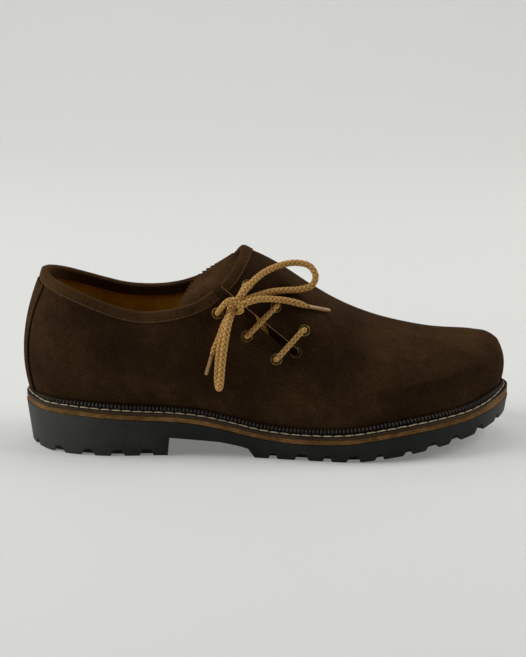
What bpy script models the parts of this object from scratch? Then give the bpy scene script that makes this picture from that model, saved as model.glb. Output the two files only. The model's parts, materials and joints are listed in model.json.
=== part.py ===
"""Traditional side-laced shoe, right foot, standing empty on its sole.

The tables are in millimetres: X runs from heel to toe, -Y is the outer, laced side and +Z is up.
"""
import math
from collections import namedtuple

import bmesh
import bpy
import numpy as np
from mathutils import Matrix, Vector

MM = 0.001

# Driving sizes, millimetres
SOLE_LENGTH = 305.0
BALL_WIDTH = 110.5
TOE_SWING = 4.0
FIT = 0.3
LAY = FIT + 0.05
MIDSOLE_THICK = 3.6
INSOLE_THICK = 3.0
WALL = 2.2
HEEL_TAPER = 3.0
FORE_TAPER = 1.5
TOE_SPRING = 16.6
SPRING_START = 50.0
SPRING_POWER = 1.25
HEEL_BREAST = -62.9
TREAD_STEP = -9.6
CUT_BELOW = 2.0

# Outline of the sole: share of the length from the heel, half widths as shares of the ball width
Outline = namedtuple("Outline", "along lateral medial")
OUTLINE = [
    Outline(0.048, 0.262, 0.258),
    Outline(0.146, 0.371, 0.353),
    Outline(0.303, 0.380, 0.326),
    Outline(0.434, 0.403, 0.330),
    Outline(0.566, 0.471, 0.403),
    Outline(0.680, 0.516, 0.471),
    Outline(0.811, 0.471, 0.475),
    Outline(0.926, 0.308, 0.375),
]

# Height of the rubber's upper edge along the shoe
Edge = namedtuple("Edge", "x top")
RUBBER_EDGE = [
    Edge(-153.0, 27.2),
    Edge(-120.0, 26.4),
    Edge(-80.0, 23.9),
    Edge(-43.0, 21.0),
    Edge(-25.0, 17.2),
    Edge(-6.6, 13.2),
    Edge(11.6, 11.4),
    Edge(29.7, 11.2),
    Edge(47.7, 12.4),
    Edge(65.8, 15.1),
    Edge(84.0, 17.8),
    Edge(103.0, 19.9),
    Edge(130.0, 23.2),
    Edge(153.0, 26.6),
]

# Under side of the arch, from the heel breast to the step of the forefoot tread
Arch = namedtuple("Arch", "x z")
ARCH = [Arch(HEEL_BREAST, 12.3), Arch(-43.0, 10.7), Arch(-31.0, 9.7), Arch(-18.7, 7.3), Arch(-13.8, 5.9)]

# How far the sole stands out past the upper, by share of the way round from heel to toe
Ledge = namedtuple("Ledge", "t width")
LEDGE = [Ledge(0.0, 3.9), Ledge(0.12, 5.0), Ledge(0.45, 5.5), Ledge(0.7, 6.0), Ledge(1.0, 5.2)]

# Collar of the upper: top of the wall under the binding, by station s from heel (0) to instep peak (1)
Collar = namedtuple("Collar", "s x y z")
OUTER_COLLAR = [
    Collar(0.00, -139.0, 0.5, 109.4),
    Collar(0.07, -136.4, -11.5, 108.0),
    Collar(0.15, -127.5, -22.0, 104.3),
    Collar(0.235, -115.0, -28.0, 99.7),
    Collar(0.315, -102.8, -31.0, 95.1),
    Collar(0.39, -90.7, -33.0, 91.1),
    Collar(0.46, -78.7, -34.0, 88.8),
    Collar(0.53, -66.6, -34.5, 89.2),
    Collar(0.605, -54.5, -34.0, 91.2),
    Collar(0.68, -42.4, -32.0, 95.2),
    Collar(0.742, -33.9, -29.0, 100.4),
    Collar(0.782, -29.2, -26.8, 104.1),
    Collar(0.83, -24.9, -23.0, 108.0),
    Collar(0.885, -20.8, -17.2, 112.9),
    Collar(0.93, -18.0, -11.0, 117.0),
    Collar(0.97, -15.9, -3.5, 120.7),
    Collar(1.00, -14.9, 3.0, 121.6),
]
INNER_COLLAR = [
    Collar(0.00, -139.0, 0.5, 109.4),
    Collar(0.07, -136.4, 11.0, 108.0),
    Collar(0.15, -127.5, 19.5, 104.8),
    Collar(0.235, -115.0, 26.0, 99.8),
    Collar(0.315, -102.8, 29.5, 95.4),
    Collar(0.39, -90.7, 31.4, 92.0),
    Collar(0.46, -78.7, 32.2, 90.6),
    Collar(0.53, -66.6, 32.0, 90.8),
    Collar(0.605, -54.5, 30.8, 92.9),
    Collar(0.68, -43.5, 28.4, 97.0),
    Collar(0.78, -29.2, 24.6, 105.0),
    Collar(0.885, -20.6, 17.6, 113.6),
    Collar(0.95, -16.6, 10.2, 119.6),
    Collar(1.00, -14.9, 3.0, 121.6),
]

# Ridge of the vamp, from the instep peak (1) to the toe cap (2)
RIDGE = [
    Collar(1.00, -14.9, 3.0, 121.6),
    Collar(1.07, -5.0, 3.5, 116.6),
    Collar(1.14, 4.7, 4.0, 110.8),
    Collar(1.25, 20.0, 4.6, 100.4),
    Collar(1.36, 34.5, 5.0, 90.6),
    Collar(1.5, 52.0, 5.5, 81.0),
    Collar(1.64, 68.0, 6.0, 74.4),
    Collar(1.76, 83.0, 6.0, 70.0),
    Collar(1.86, 95.0, 6.0, 68.4),
    Collar(1.93, 103.0, 6.0, 68.0),
    Collar(1.97, 106.3, 6.0, 68.0),
    Collar(2.00, 107.0, 6.0, 68.0),
]

# Ribs of the upper: foot (share of the way round the sole), then the two handles of each rib's curve
Rib = namedtuple("Rib", "s foot lean rise run drop")
OUTER_RIBS = [
    Rib(0.00, 0.000, 8.3, 26.0, 10.4, -23.0),
    Rib(0.15, 0.075, 6.5, 24.0, 8.5, -22.0),
    Rib(0.315, 0.185, 4.5, 20.0, 6.0, -19.0),
    Rib(0.46, 0.255, 4.0, 19.0, 5.0, -18.0),
    Rib(0.605, 0.320, 4.0, 19.0, 5.0, -18.0),
    Rib(0.742, 0.392, 4.0, 22.0, 7.5, -19.0),
    Rib(0.83, 0.450, 4.0, 29.0, 13.0, -17.0),
    Rib(0.93, 0.522, 4.0, 37.0, 21.0, -14.0),
    Rib(1.00, 0.570, 4.0, 40.0, 26.0, -9.5),
    Rib(1.25, 0.660, 4.0, 36.0, 31.0, -10.5),
    Rib(1.50, 0.755, 4.0, 33.0, 34.0, -8.0),
    Rib(1.75, 0.865, 5.0, 31.0, 36.0, -5.0),
    Rib(1.90, 0.940, 6.0, 30.0, 37.0, -2.0),
    Rib(2.00, 1.000, 6.5, 30.0, 38.0, 0.5),
]
INNER_RIBS = [
    Rib(0.00, 0.000, 8.3, 26.0, 10.4, -23.0),
    Rib(0.15, 0.075, 6.5, 24.0, 8.5, -22.0),
    Rib(0.315, 0.185, 4.5, 20.0, 6.0, -19.0),
    Rib(0.46, 0.255, 3.5, 19.0, 5.0, -18.0),
    Rib(0.605, 0.325, 3.0, 20.0, 6.0, -19.0),
    Rib(0.78, 0.430, 2.5, 28.0, 12.0, -20.0),
    Rib(0.89, 0.500, 3.0, 37.0, 20.0, -16.0),
    Rib(1.00, 0.570, 3.0, 42.0, 26.0, -9.5),
    Rib(1.25, 0.660, 3.5, 37.0, 31.0, -10.5),
    Rib(1.50, 0.755, 4.0, 33.0, 34.0, -8.0),
    Rib(1.75, 0.865, 5.0, 31.0, 36.0, -5.0),
    Rib(1.90, 0.940, 6.0, 30.0, 37.0, -2.0),
    Rib(2.00, 1.000, 6.5, 30.0, 38.0, 0.5),
]
HANDLE_PULL = 15.0

# Stations round the upper and rows up its ribs that the solids are meshed on
REAR_STATIONS = [0.0, 0.045, 0.09, 0.14, 0.19, 0.25, 0.315, 0.39, 0.46, 0.53, 0.605, 0.68, 0.742, 0.782, 0.83,
                 0.885, 0.93, 0.97]
FRONT_STATIONS = [1.0, 1.05, 1.11, 1.18, 1.25, 1.32, 1.39, 1.46, 1.53, 1.60, 1.67, 1.74, 1.80, 1.86, 1.91, 1.955]
TOE_STATION = 2.0
ROWS = [0.0, 0.06, 0.15, 0.26, 0.38, 0.50, 0.61, 0.71, 0.80, 0.88, 0.94, 1.0]

# Sole edge, welt, lugs
MIDSOLE_INSET = 0.4
WELT_THICK = 2.1
BEAD_HEIGHT = 4.6
BEAD_WIDTH = 2.4
BEAD_GAP = FIT + 0.1
RIM_LEFT = 0.6
Bead = namedtuple("Bead", "across up")
BEAD = [Bead(1.0, 0.5), Bead(0.92, 0.75), Bead(0.6, 1.0), Bead(0.1, 0.98), Bead(0.0, 0.6)]
Notch = namedtuple("Notch", "x width height")
NOTCHES = [Notch(x, 5.0, 4.0) for x in (-131.4, -112.3, -93.4, -75.6, 18.4, 49.8, 99.2, 114.1, 130.7)]
NOTCHES += [Notch(x, 3.2, 3.6) for x in (1.4, 34.1, 66.2, 84.0, 144.2)]
NOTCH_INSET = 5.0
NOTCH_PAST = 3.0
GROOVES = [10.0, 26.0, 42.0, 58.0, 75.0, 92.0, 107.0]
GROOVE_MARGIN = 20.0
GROOVE_WIDTH = 3.6
GROOVE_DEPTH = 3.0

# Collar binding, backstay and slit
BIND_OUTSIDE = 7.0
BIND_INSIDE = 8.5
BIND_THICK = 1.0
BIND_REACH = 0.05
BACKSTAY_HALF = 0.09
BACKSTAY_THICK = 1.1
BACKSTAY_GAP = 0.6
SLIT_QUARTER = 0.742
SLIT_VAMP = 0.782
SLIT_END = (16.5, 64.4)
SLIT_MOUTH = 5.4
SLIT_WIDTH = 4.4
SLIT_LEAD = 14.0

# Tongue: free rear edge, then the stations and rows it passes inside the collar and under the vamp
Tongue = namedtuple("Tongue", "rear middle front depth")
TONGUE = [
    Tongue((-36.0, -35.0, 53.0), (0.90, 0.40), (1.07, 0.42), 7.2),
    Tongue((-50.0, -31.5, 71.0), (0.86, 0.60), (1.09, 0.56), 7.2),
    Tongue((-56.0, -25.0, 87.3), (0.80, 0.82), (1.10, 0.72), 7.0),
    Tongue((-51.4, -11.0, 97.6), (0.82, 0.96), (1.11, 0.85), 6.2),
    Tongue((-42.8, 1.0, 105.5), (0.885, 0.97), (1.15, 0.94), 5.6),
    Tongue((-31.5, 6.0, 111.2), (0.95, 0.985), (1.19, 0.99), 5.8),
    Tongue((-21.5, 8.5, 115.8), (-0.97, 0.985), (-1.17, 0.95), 5.8),
]
TONGUE_COLUMNS = 15
TONGUE_ROWS = 7
TONGUE_THICK = 1.5
TONGUE_SEAT = 2.9

# Eyelets, by place on the outer side
Eyelet = namedtuple("Eyelet", "name x z")
EYELETS = [
    Eyelet("quarter_1", -31.7, 88.3),
    Eyelet("quarter_2", -14.2, 74.7),
    Eyelet("quarter_3", 3.5, 61.4),
    Eyelet("vamp_1", -13.6, 103.2),
    Eyelet("vamp_2", 3.4, 90.5),
    Eyelet("vamp_3", 20.5, 77.5),
]
EYELET_HOLE = 2.25
EYELET_BARREL = 2.65
EYELET_RIM = 3.65
EYELET_CUT = 3.0
EYELET_CUT_DEPTH = 12.0
EYELET_SIDES = 12
EYELET_FACE = FIT + 0.1
EYELET_TOP = 1.05
EYELET_FOOT = -WALL - 0.4

# Lace: bars over the slit, then the bow's knot, two loops and two ends with their tips
LACE = 4.0
BAR_RISE = 4.0
BAR_UNDER_KNOT = 3.0
BAR_BEND = [(0.0, -1.0), (0.0, 0.4), (0.0, 1.8), (1.0, 3.4), (2.9, BAR_RISE)]
BAR_STEP = 1.7
KNOT_CENTRE = (-22.6, -39.0, 94.9)
KNOT_HALF = (5.2, 4.6, 3.6)
TIP = 2.6
CORD_STEP = 5.0
LOOP_UPPER = [
    (-18.2, -37.6, 99.6), (-12.0, -31.5, 105.8), (-3.0, -22.0, 111.0), (7.0, -16.0, 113.9),
    (16.0, -14.5, 115.0), (24.5, -16.0, 113.2), (28.0, -18.5, 107.8), (26.0, -20.0, 102.4),
    (18.5, -21.0, 99.9), (9.5, -23.5, 100.0), (1.0, -26.5, 99.9), (-7.0, -30.6, 98.8), (-14.0, -34.8, 97.2),
]
LOOP_LOWER = [
    (-23.6, -44.0, 90.0), (-25.4, -48.0, 84.8), (-27.0, -51.0, 77.0), (-28.4, -53.0, 68.2),
    (-29.4, -54.0, 59.2), (-30.0, -53.4, 51.6), (-30.6, -49.8, 45.8), (-31.1, -45.4, 44.2),
    (-31.6, -42.2, 48.0), (-31.2, -41.8, 55.8), (-30.4, -42.8, 65.4), (-29.2, -43.6, 73.4),
    (-27.1, -43.9, 81.0), (-25.2, -42.6, 87.0),
]
END_UPPER = [
    (-16.6, -41.0, 95.6), (-12.2, -39.8, 97.2), (-6.8, -37.0, 97.8), (-1.4, -33.9, 97.3),
    (4.4, -31.0, 96.1), (9.8, -29.0, 94.9), (15.6, -28.2, 93.4), (22.9, -27.4, 90.8),
]
TIP_UPPER = [(23.2, -27.2, 90.7), (36.8, -20.6, 86.4)]
END_LOWER = [
    (-25.8, -38.0, 87.2), (-28.0, -38.2, 82.4), (-30.0, -38.5, 76.9), (-32.1, -39.1, 71.4),
    (-34.1, -39.7, 67.4), (-35.3, -40.1, 64.3),
]
TIP_LOWER = [(-35.4, -40.2, 63.9), (-38.9, -40.7, 52.1)]

# Meshing
WELD = 0.00002
SHARP_ANGLE = math.radians(35.0)
BOW_NAMES = ("lace_knot", "lace_loop", "lace_end", "lace_tip")


class Curve:
    """Smooth curve through the rows of a table; the first column is the key."""

    def __init__(self, rows, column):
        self.keys = np.array([row[0] for row in rows], float)
        self.values = np.array([self.read(row, column) for row in rows], float)
        self.slopes = np.gradient(self.values, self.keys)

    @staticmethod
    def read(row, column):
        return row[column] if isinstance(column, int) else getattr(row, column)

    def __call__(self, at):
        span = int(np.clip(np.searchsorted(self.keys, at) - 1, 0, len(self.keys) - 2))
        width = self.keys[span + 1] - self.keys[span]
        f = float(np.clip((at - self.keys[span]) / width, 0.0, 1.0))
        start, end = self.values[span], self.values[span + 1]
        leave, arrive = self.slopes[span] * width, self.slopes[span + 1] * width
        bend = 3 * (end - start) - 2 * leave - arrive
        turn = 2 * (start - end) + leave + arrive
        return start + f * (leave + f * (bend + f * turn))


def spline(points, closed, per_span=40):
    """Centripetal Catmull-Rom curve through the points, as a loop or from end to end."""
    points = np.array(points, float)
    if not closed:
        points = np.vstack([2 * points[0] - points[1], points, 2 * points[-1] - points[-2]])
    count = len(points)
    spans = range(count) if closed else range(1, count - 2)
    line = []
    for i in spans:
        a, b, c, d = (points[(i + k) % count] for k in (-1, 0, 1, 2))
        t1 = math.sqrt(np.linalg.norm(b - a))
        t2 = t1 + math.sqrt(np.linalg.norm(c - b))
        t3 = t2 + math.sqrt(np.linalg.norm(d - c))
        for t in np.linspace(t1, t2, per_span, endpoint=False):
            ab = (a * (t1 - t) + b * t) / t1
            bc = (b * (t2 - t) + c * (t - t1)) / (t2 - t1)
            cd = (c * (t3 - t) + d * (t - t2)) / (t3 - t2)
            abc = (ab * (t2 - t) + bc * t) / t2
            bcd = (bc * (t3 - t) + cd * (t - t1)) / (t3 - t1)
            line.append((abc * (t2 - t) + bcd * (t - t1)) / (t2 - t1))
    if not closed:
        line.append(points[-2])
    return np.array(line)


def sole_halves():
    """Points and outward normals of the sole's outline, heel to toe, for the outer and the inner side."""
    half = SOLE_LENGTH / 2
    outer = [(row.along * SOLE_LENGTH - half, -row.lateral * BALL_WIDTH) for row in OUTLINE]
    inner = [(row.along * SOLE_LENGTH - half, row.medial * BALL_WIDTH) for row in reversed(OUTLINE)]
    loop = spline([(-half, 0.0)] + outer + [(half, TOE_SWING)] + inner, closed=True)
    ahead = np.roll(loop, -1, axis=0) - np.roll(loop, 1, axis=0)
    normals = np.stack([ahead[:, 1], -ahead[:, 0]], axis=1)
    normals /= np.linalg.norm(normals, axis=1)[:, None]
    toe = len(loop) // 2
    inner_order = np.r_[0, np.arange(len(loop) - 1, toe - 1, -1)]
    halves = []
    for order in (np.arange(toe + 1), inner_order):
        steps = np.linalg.norm(np.diff(loop[order], axis=0), axis=1)
        share = np.r_[0.0, np.cumsum(steps)] / steps.sum()
        halves.append((share, loop[order], normals[order]))
    return halves


OUTER, INNER = 0, 1
HALVES = sole_halves()
RUBBER_TOP = Curve(RUBBER_EDGE, "top")
LEDGE_WIDTH = Curve(LEDGE, "width")
COLLARS = [{axis: Curve(rows, axis) for axis in "xyz"} for rows in (OUTER_COLLAR, INNER_COLLAR)]
RIDGE_LINE = {axis: Curve(RIDGE, axis) for axis in "xyz"}
RIBS = [{name: Curve(rows, name) for name in Rib._fields[1:]} for rows in (OUTER_RIBS, INNER_RIBS)]


def side_of(u):
    """Stations u run from -2 to 2: positive on the outer side, negative on the inner, 0 at the heel."""
    return OUTER if u >= 0 else INNER


def wrap(u):
    return (u + 2.0) % 4.0 - 2.0


def sole_edge(side, t):
    """Point and outward normal on the sole's outline at share t of the way from heel to toe."""
    share, points, normals = HALVES[side]
    point = np.array([np.interp(t, share, points[:, k]) for k in (0, 1)])
    normal = np.array([np.interp(t, share, normals[:, k]) for k in (0, 1)])
    return point, normal / np.linalg.norm(normal)


def foot_share(u):
    return RIBS[side_of(u)]["foot"](abs(u))


def sole_point(u, inset):
    """Plan point of the sole at station u, drawn in from the edge."""
    point, normal = sole_edge(side_of(u), foot_share(u))
    return point - normal * inset


def midsole_top(x):
    return RUBBER_TOP(x) + FIT + MIDSOLE_THICK


def tread_height(x):
    """Ground line of the sole with its toe spring, before the arch is cut."""
    past = max(0.0, x - SPRING_START) / (SOLE_LENGTH / 2 - SPRING_START)
    return TOE_SPRING * past ** SPRING_POWER


def rib_points(u):
    """The four control points of the upper's rib at station u: foot, two handles and top."""
    side, s = side_of(u), abs(u)
    shape = RIBS[side]
    share = shape["foot"](s)
    edge, normal = sole_edge(side, share)
    plan = edge - normal * LEDGE_WIDTH(share)
    line = COLLARS[side] if s < 1.0 else RIDGE_LINE
    foot = np.array([plan[0], plan[1], midsole_top(plan[0]) + FIT])
    top = np.array([line[axis](s) for axis in "xyz"])
    pull = normal + (plan - top[:2]) / HANDLE_PULL
    pull /= np.linalg.norm(pull)
    low = foot + np.array([*(normal * shape["lean"](s)), shape["rise"](s)])
    high = top + np.array([*(pull * shape["run"](s)), shape["drop"](s)])
    return foot, low, high, top


def surface(u, v):
    """Outer surface of the upper: v runs up the rib from the sole (0) to the collar or ridge (1)."""
    foot, low, high, top = rib_points(wrap(u))
    w = 1.0 - v
    return w ** 3 * foot + 3 * w * w * v * low + 3 * w * v * v * high + v ** 3 * top


def unit(vector):
    return vector / np.linalg.norm(vector)


def surface_normal(u, v, step=0.004):
    """Outward normal; on the collar of an instep station the step stays on the collar's side."""
    before, after = u - step, u + step
    across = surface(after, v) - surface(before, v)
    up = surface(u, min(1.0, v + step)) - surface(u, max(0.0, v - step))
    return unit(np.cross(across, up))


def shell_point(u, v, out):
    """Point that stands `out` off the upper's outer surface."""
    return surface(u, v) + surface_normal(u, v) * out


def outer_side_at(x, z):
    """Station and row of the outer side's point with the given X and Z, by Newton's method."""
    place = np.array([0.9, 0.6])
    step = 1e-4
    for _ in range(40):
        here = surface(*place)[[0, 2]]
        slope_u = (surface(place[0] + step, place[1])[[0, 2]] - here) / step
        slope_v = (surface(place[0], place[1] + step)[[0, 2]] - here) / step
        move = np.linalg.solve(np.stack([slope_u, slope_v], axis=1), np.array([x, z]) - here)
        place = np.clip(place + np.clip(move, -0.1, 0.1), [0.3, 0.05], [1.9, 0.98])
    return place


def clear_scene():
    for item in list(bpy.data.objects):
        bpy.data.objects.remove(item, do_unlink=True)


def new_collection(name):
    group = bpy.data.collections.new(name)
    bpy.context.scene.collection.children.link(group)
    return group


def material(name, colour, roughness, metallic=0.0):
    finish = bpy.data.materials.new(name)
    finish.use_nodes = True
    shader = finish.node_tree.nodes["Principled BSDF"]
    shader.inputs["Base Color"].default_value = (*colour, 1.0)
    shader.inputs["Roughness"].default_value = roughness
    shader.inputs["Metallic"].default_value = metallic
    return finish


def add_object(name, data, group, finish=None):
    item = bpy.data.objects.new(name, data)
    group.objects.link(item)
    if finish is not None:
        item.data.materials.append(finish)
    return item


def finish_mesh(name, build, outward=True):
    if outward:
        bmesh.ops.recalc_face_normals(build, faces=build.faces)
    mesh = bpy.data.meshes.new(name)
    build.to_mesh(mesh)
    build.free()
    mesh.shade_smooth()
    mesh.set_sharp_from_angle(angle=SHARP_ANGLE)
    return mesh


def grid_mesh(name, rows, wrap_rows=False, wrap_points=False, cap_rows=False, outward=True):
    """Mesh over a grid of points in millimetres; wrapped directions close, capped ends get a face."""
    build = bmesh.new()
    verts = [[build.verts.new(Vector(point) * MM) for point in row] for row in rows]
    count, width = len(verts), len(verts[0])
    for i in range(count if wrap_rows else count - 1):
        for j in range(width if wrap_points else width - 1):
            here, there = verts[i], verts[(i + 1) % count]
            build.faces.new((here[j], there[j], there[(j + 1) % width], here[(j + 1) % width]))
    if cap_rows:
        build.faces.new(list(reversed(verts[0])))
        build.faces.new(verts[-1])
    bmesh.ops.remove_doubles(build, verts=build.verts, dist=WELD)
    bmesh.ops.dissolve_degenerate(build, edges=build.edges, dist=WELD)
    return finish_mesh(name, build, outward)


def plate_mesh(name, rings):
    """Solid between stacked rings round the shoe; each end is closed by strips from side to side."""
    build = bmesh.new()
    verts = [[build.verts.new(Vector(point) * MM) for point in ring] for ring in rings]
    count = len(verts[0])
    for low, high in zip(verts, verts[1:]):
        for i in range(count):
            j = (i + 1) % count
            build.faces.new((low[i], low[j], high[j], high[i]))
    for end in (verts[0], verts[-1]):
        for i in range(count // 2):
            corners = [end[i], end[i + 1], end[-i - 1], end[-i]]
            build.faces.new(list(dict.fromkeys(corners)))
    return finish_mesh(name, build)


def frame_at(origin, first, third):
    """Matrix with its third axis along `third` and its first axis as near to `first` as that allows."""
    third = unit(np.array(third, float))
    second = unit(np.cross(third, first))
    columns = np.stack([np.cross(second, third), second, third], axis=1)
    turn = Matrix([[float(value) for value in row] for row in columns]).to_4x4()
    return Matrix.Translation(Vector(origin) * MM) @ turn


def prism_mesh(name, outline, depth, frame):
    """Outline in the frame's first two axes, extruded both ways along its third."""
    build = bmesh.new()
    verts = [build.verts.new((a * MM, b * MM, -depth * MM)) for a, b in outline]
    face = build.faces.new(verts)
    grown = bmesh.ops.extrude_face_region(build, geom=[face])
    raised = [item for item in grown["geom"] if isinstance(item, bmesh.types.BMVert)]
    bmesh.ops.translate(build, verts=raised, vec=(0.0, 0.0, 2 * depth * MM))
    build.transform(frame)
    return finish_mesh(name, build)


def add_cut(target, name, mesh, cutters):
    mesh.shade_flat()
    cutter = add_object(name, mesh, cutters)
    cutter.hide_render = True
    cutter.display_type = "WIRE"
    cut = target.modifiers.new(name, "BOOLEAN")
    cut.operation = "DIFFERENCE"
    cut.solver = "EXACT"
    cut.object = cutter


def stations():
    """All stations in order: heel, outer side, toe, inner side."""
    outer = REAR_STATIONS + FRONT_STATIONS + [TOE_STATION]
    inner = [-s for s in reversed(REAR_STATIONS[1:] + FRONT_STATIONS)]
    return outer + inner


def ring(inset, height):
    """Ring of points round the sole: inset is a function of the station, height of X."""
    plan = [sole_point(u, inset(u)) for u in stations()]
    return [(x, y, height(x)) for x, y in plan]


def tread_inset(u):
    """How far the tread is drawn in from the rubber's upper edge."""
    return HEEL_TAPER if sole_point(u, 0.0)[0] < HEEL_BREAST else FORE_TAPER


def lug_cuts():
    """Notches between the edge lugs, square to the outline, and the grooves across the middle."""
    build = bmesh.new()
    for notch in NOTCHES:
        for share, points, normals in HALVES:
            t = np.interp(notch.x, points[:, 0], share)
            x, y = (np.interp(t, share, points[:, k]) for k in (0, 1))
            nx, ny = (np.interp(t, share, normals[:, k]) for k in (0, 1))
            centre = (x - nx * NOTCH_INSET, y - ny * NOTCH_INSET, tread_height(x))
            length = 2 * (NOTCH_INSET + NOTCH_PAST)
            size = Matrix.Diagonal((length * MM, notch.width * MM, 2 * notch.height * MM, 1.0))
            bmesh.ops.create_cube(build, size=1.0, matrix=frame_at(centre, (nx, ny, 0), (0, 0, 1)) @ size)
    for x in GROOVES:
        low, high = (np.interp(x, points[:, 0], points[:, 1]) for share, points, normals in HALVES)
        width = high - low - 2 * GROOVE_MARGIN
        centre = Matrix.Translation(Vector((x, (low + high) / 2, tread_height(x))) * MM)
        size = Matrix.Diagonal((GROOVE_WIDTH * MM, width * MM, 2 * GROOVE_DEPTH * MM, 1.0))
        bmesh.ops.create_cube(build, size=1.0, matrix=centre @ size)
    return finish_mesh("lug_cuts", build)


def make_outsole(group, cutters, finish):
    """Rubber sole and heel in one piece, with toe spring, arch, heel breast and lugs."""
    shape = plate_mesh("outsole", [ring(tread_inset, tread_height), ring(lambda u: 0.0, RUBBER_TOP)])
    shape.shade_flat()
    sole = add_object("outsole", shape, group, finish)
    outline = [(HEEL_BREAST, -CUT_BELOW)] + [(row.x, row.z) for row in ARCH]
    outline += [(TREAD_STEP, 0.0), (TREAD_STEP, -CUT_BELOW)]
    side_view = frame_at((0.0, 0.0, 0.0), (1.0, 0.0, 0.0), (0.0, -1.0, 0.0))
    add_cut(sole, "arch_cut", prism_mesh("arch_cut", outline, BALL_WIDTH, side_view), cutters)
    add_cut(sole, "lug_cuts", lug_cuts(), cutters)


def make_midsole(group, finish):
    low = ring(lambda u: MIDSOLE_INSET, lambda x: RUBBER_TOP(x) + FIT)
    high = ring(lambda u: MIDSOLE_INSET, midsole_top)
    add_object("midsole", plate_mesh("midsole", [low, high]), group, finish)


def make_insole(group, finish):
    def inset(u):
        return LEDGE_WIDTH(foot_share(u)) + WALL + 2 * FIT

    low = ring(inset, lambda x: midsole_top(x) + FIT)
    high = ring(inset, lambda x: midsole_top(x) + FIT + INSOLE_THICK)
    add_object("insole", plate_mesh("insole", [low, high]), group, finish)


def upper_stand_out(u, height):
    """How far the upper bulges past its foot at a height over the midsole."""
    foot, normal = surface(u, 0.0), sole_edge(side_of(u), foot_share(u))[1]
    climb = [surface(u, v) - foot for v in np.linspace(0.0, 0.2, 9)]
    heights = [step[2] + FIT for step in climb]
    return np.interp(height, heights, [step[:2] @ normal for step in climb])


def make_welt(group, finish):
    """Flat welt strip with a raised bead that stands against the upper."""
    rows = []
    for u in stations():
        edge, normal = sole_edge(side_of(u), foot_share(u))
        ledge = LEDGE_WIDTH(foot_share(u))
        rim = ledge - MIDSOLE_INSET
        inner = upper_stand_out(u, BEAD_HEIGHT) + BEAD_GAP
        bead = min(BEAD_WIDTH, rim - inner - RIM_LEFT)
        section = [(rim, FIT), (rim, WELT_THICK)]
        section += [(inner + row.across * bead, row.up * BEAD_HEIGHT) for row in BEAD]
        section.append((upper_stand_out(u, FIT) + BEAD_GAP, FIT))
        row = []
        for out, height in section:
            x, y = edge + normal * (out - ledge)
            row.append((x, y, midsole_top(x) + height))
        rows.append(row)
    add_object("welt", grid_mesh("welt", rows, wrap_rows=True, wrap_points=True), group, finish)


def slit_cut():
    """Cutter for the lacing slit: a slot with a flared mouth at the collar and a round end."""
    mouth = surface((SLIT_QUARTER + SLIT_VAMP) / 2, 1.0)
    end_station = outer_side_at(*SLIT_END)
    end = surface(*end_station)
    middle = outer_side_at(*((mouth + end) / 2)[[0, 2]])
    length = np.linalg.norm(end - mouth)
    radius = SLIT_WIDTH / 2
    half = [(-SLIT_LEAD, SLIT_MOUTH / 2), (0.0, SLIT_MOUTH / 2), (0.35 * length, radius)]
    turns = np.linspace(math.pi / 2, -math.pi / 2, 9)
    tip = [(length - radius + radius * math.cos(a), radius * math.sin(a)) for a in turns]
    outline = half + tip + [(a, -b) for a, b in reversed(half)]
    frame = frame_at(mouth, end - mouth, surface_normal(*middle))
    return prism_mesh("slit_cut", outline, SLIT_LEAD, frame)


def eyelet_frame(eyelet):
    place = outer_side_at(eyelet.x, eyelet.z)
    return frame_at(surface(*place), (1.0, 0.0, 0.0), surface_normal(*place))


def eyelet_cuts():
    build = bmesh.new()
    for eyelet in EYELETS:
        bmesh.ops.create_cone(build, cap_ends=True, segments=EYELET_SIDES, radius1=EYELET_CUT * MM,
                              radius2=EYELET_CUT * MM, depth=EYELET_CUT_DEPTH * MM,
                              matrix=eyelet_frame(eyelet))
    return finish_mesh("eyelet_cuts", build)


def make_upper(group, cutters, finish):
    """One hollow wall, open at the collar, along the slit and underneath."""
    rows = [[surface(u, v) for v in ROWS] for u in stations()]
    upper = add_object("upper", grid_mesh("upper", rows, wrap_rows=True, outward=False), group, finish)
    wall = upper.modifiers.new("wall", "SOLIDIFY")
    wall.thickness = WALL * MM
    wall.offset = -1.0
    wall.use_quality_normals = True
    add_cut(upper, "slit_cut", slit_cut(), cutters)
    add_cut(upper, "eyelet_cuts", eyelet_cuts(), cutters)


def collar_edge(u):
    """Rim point, outward normal and in-surface direction away from the wall, at a collar station."""
    step = 0.004
    if abs(u) > 1.0 - step:
        peak = surface(1.0, 1.0)
        away = unit(peak - surface(1.03, 1.0))
        along = np.array([0.0, 1.0, 0.0])
        return peak, unit(np.cross(along, away)), away
    rim = surface(u, 1.0)
    along = surface(u + step, 1.0) - surface(u - step, 1.0)
    climb = rim - surface(u, 1.0 - step)
    normal = unit(np.cross(along, climb))
    return rim, normal, unit(np.cross(normal, along))


def below_rim(u, width):
    """Row on the rib at station u that lies `width` below the collar's edge."""
    rim, normal, away = collar_edge(np.clip(u, -1.0, 1.0))
    rows = np.linspace(1.0, 0.55, 46)
    depth = [(rim - surface(u, v)) @ away for v in rows]
    return float(np.interp(width, depth, rows))


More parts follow.
